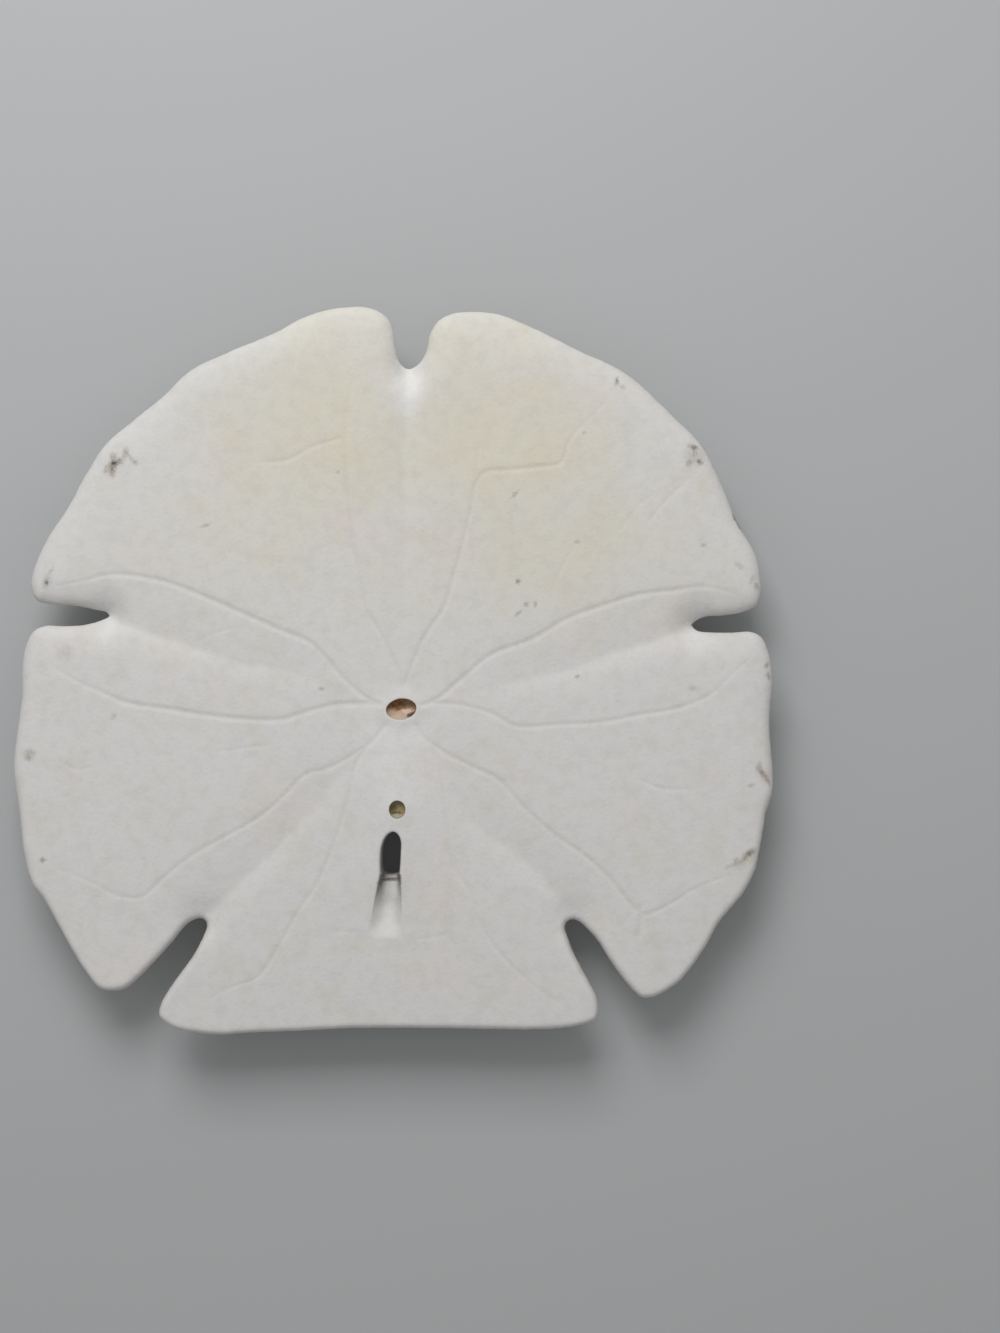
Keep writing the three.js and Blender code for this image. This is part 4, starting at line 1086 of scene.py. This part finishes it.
    # Fine grain of the skin
    grain = build.add("ShaderNodeTexVoronoi", {
        "Vector": place, "Scale": 1 / finish.grain_size, "Smoothness": 0.4}, feature="SMOOTH_F1")
    ripple = build.maths("SUBTRACT", build.maths("MULTIPLY", cloud(1.2, 4.0), 0.9),
                         grain.outputs["Distance"])
    bump = build.add("ShaderNodeBump", {
        "Height": ripple, "Strength": 0.6, "Distance": finish.grain_height})
    build.show({
        "Base Color": colour, "Roughness": graded(cloud(1.6), 0.3, 0.7, 0.74, 0.9),
        "Normal": bump.outputs[0], "Specular IOR Level": 0.3})
    return material


class SANDDOLLAR_OT_test(bpy.types.Operator):
    """Build the finished skin of the sand dollar in place of its plain solid"""

    bl_idname = "sand_dollar.test"
    bl_label = "Build Test"

    def execute(self, context):
        shape = context.scene.sand_dollar_shape
        test = Test(shape)
        material = skin_material(context.scene.sand_dollar_finish, test)
        skin = linked("bleached_sand_dollar", skin_mesh(test, shape.open_step / MM))

        grooves = [smooth_line(line, FINE_STEP) for _, line in FOOD_GROOVES]
        strengths = [strength for strength, _ in FOOD_GROOVES]
        groove_lines = line_object("food_groove_lines", grooves, test.upper, strengths)
        grooved = apply_tree(skin, groove_tree(), {
            "Lines": groove_lines, "Depth": shape.groove_depth,
            "Half Width": shape.groove_half_width, "Material": material})
        pore_lines = line_object("pore_row_lines", test.rows, test.lower, [1.0] * len(test.rows))
        pored = apply_tree(skin, pore_tree(), {
            "Rows": pore_lines, "Pitch": shape.pore_pitch, "Length": shape.pore_length,
            "Depth": shape.pore_depth, "Half Width": shape.slit_half_width,
            "Pore Radius": shape.pore_radius, "Material": material})
        skin.data.attributes["carved"].data.foreach_set("value", np.maximum(grooved, pored))
        for helper in (groove_lines, pore_lines):
            bpy.data.objects.remove(helper)
        skin.data.shade_smooth()

        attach(skin, "root")
        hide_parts(NODE)
        return {"FINISHED"}


class SANDDOLLAR_OT_stage(bpy.types.Operator):
    """Build the plain floor, the soft lights and the camera"""

    bl_idname = "sand_dollar.stage"
    bl_label = "Build Stage"

    def execute(self, context):
        stage = context.scene.sand_dollar_stage
        scene = context.scene
        mesh = bpy.data.meshes.new("floor")
        corners = [(x * FLOOR_REACH, y * FLOOR_REACH, 0) for x, y in ((-1, -1), (1, -1), (1, 1), (-1, 1))]
        mesh.from_pydata(corners, [], [(0, 1, 2, 3)])
        floor = linked("floor", mesh)
        material, build = blank_material("floor")
        build.show({"Base Color": (*stage.floor, 1.0), "Roughness": 0.9, "Specular IOR Level": 0.2})
        mesh.materials.append(material)

        for name, power, size, spot in (
                ("key", stage.key_power, 0.24, (-0.06, 0.30, 0.35)),
                ("overhead", stage.fill_power, 0.9, (0.1, 0.1, 0.9))):
            data = bpy.data.lights.new(name, "AREA")
            data.energy = power
            data.size = size
            light = linked(name, data)
            light.location = spot
            light.rotation_euler = (-Vector(spot)).to_track_quat("-Z", "Y").to_euler()

        world = bpy.data.worlds.new("soft_room")
        world.use_nodes = True
        background = world.node_tree.nodes["Background"]
        background.inputs["Color"].default_value = (1.0, 1.0, 1.0, 1.0)
        background.inputs["Strength"].default_value = stage.room_light
        scene.world = world
        scene.view_settings.view_transform = "Standard"

        data = bpy.data.cameras.new("camera")
        data.lens = 50.0
        data.sensor_width = 36.0
        camera = linked("camera", data)
        camera.location = (*CAMERA_PLACE, cad_high.z + stage.camera_distance)
        camera.rotation_euler = Euler((0.0, 0.0, 0.0))
        scene.camera = camera
        return {"FINISHED"}


class SANDDOLLAR_PT_panel(bpy.types.Panel):
    """Sidebar panel with the sizes, colours and steps"""

    bl_label = "Sand Dollar"
    bl_idname = "SANDDOLLAR_PT_panel"
    bl_space_type = "VIEW_3D"
    bl_region_type = "UI"
    bl_category = "Sand Dollar"

    def draw(self, context):
        scene = context.scene
        for group in (getattr(scene, name) for name in GROUPS):
            box = self.layout.box()
            for name in group.__annotations__:
                box.prop(group, name)
        self.layout.operator(SANDDOLLAR_OT_test.bl_idname)
        self.layout.operator(SANDDOLLAR_OT_stage.bl_idname)


GROUPS = {"sand_dollar_shape": SandDollarShape, "sand_dollar_finish": SandDollarFinish,
          "sand_dollar_stage": SandDollarStage}
CLASSES = (*GROUPS.values(), SANDDOLLAR_OT_test, SANDDOLLAR_OT_stage, SANDDOLLAR_PT_panel)


def register():
    for cls in CLASSES:
        bpy.utils.register_class(cls)
    for name, group in GROUPS.items():
        setattr(bpy.types.Scene, name, PointerProperty(type=group))


def unregister():
    for name in GROUPS:
        delattr(bpy.types.Scene, name)
    for cls in reversed(CLASSES):
        bpy.utils.unregister_class(cls)


def main():
    register()
    bpy.ops.sand_dollar.test()
    bpy.ops.sand_dollar.stage()


if __name__ == "__main__":
    main()
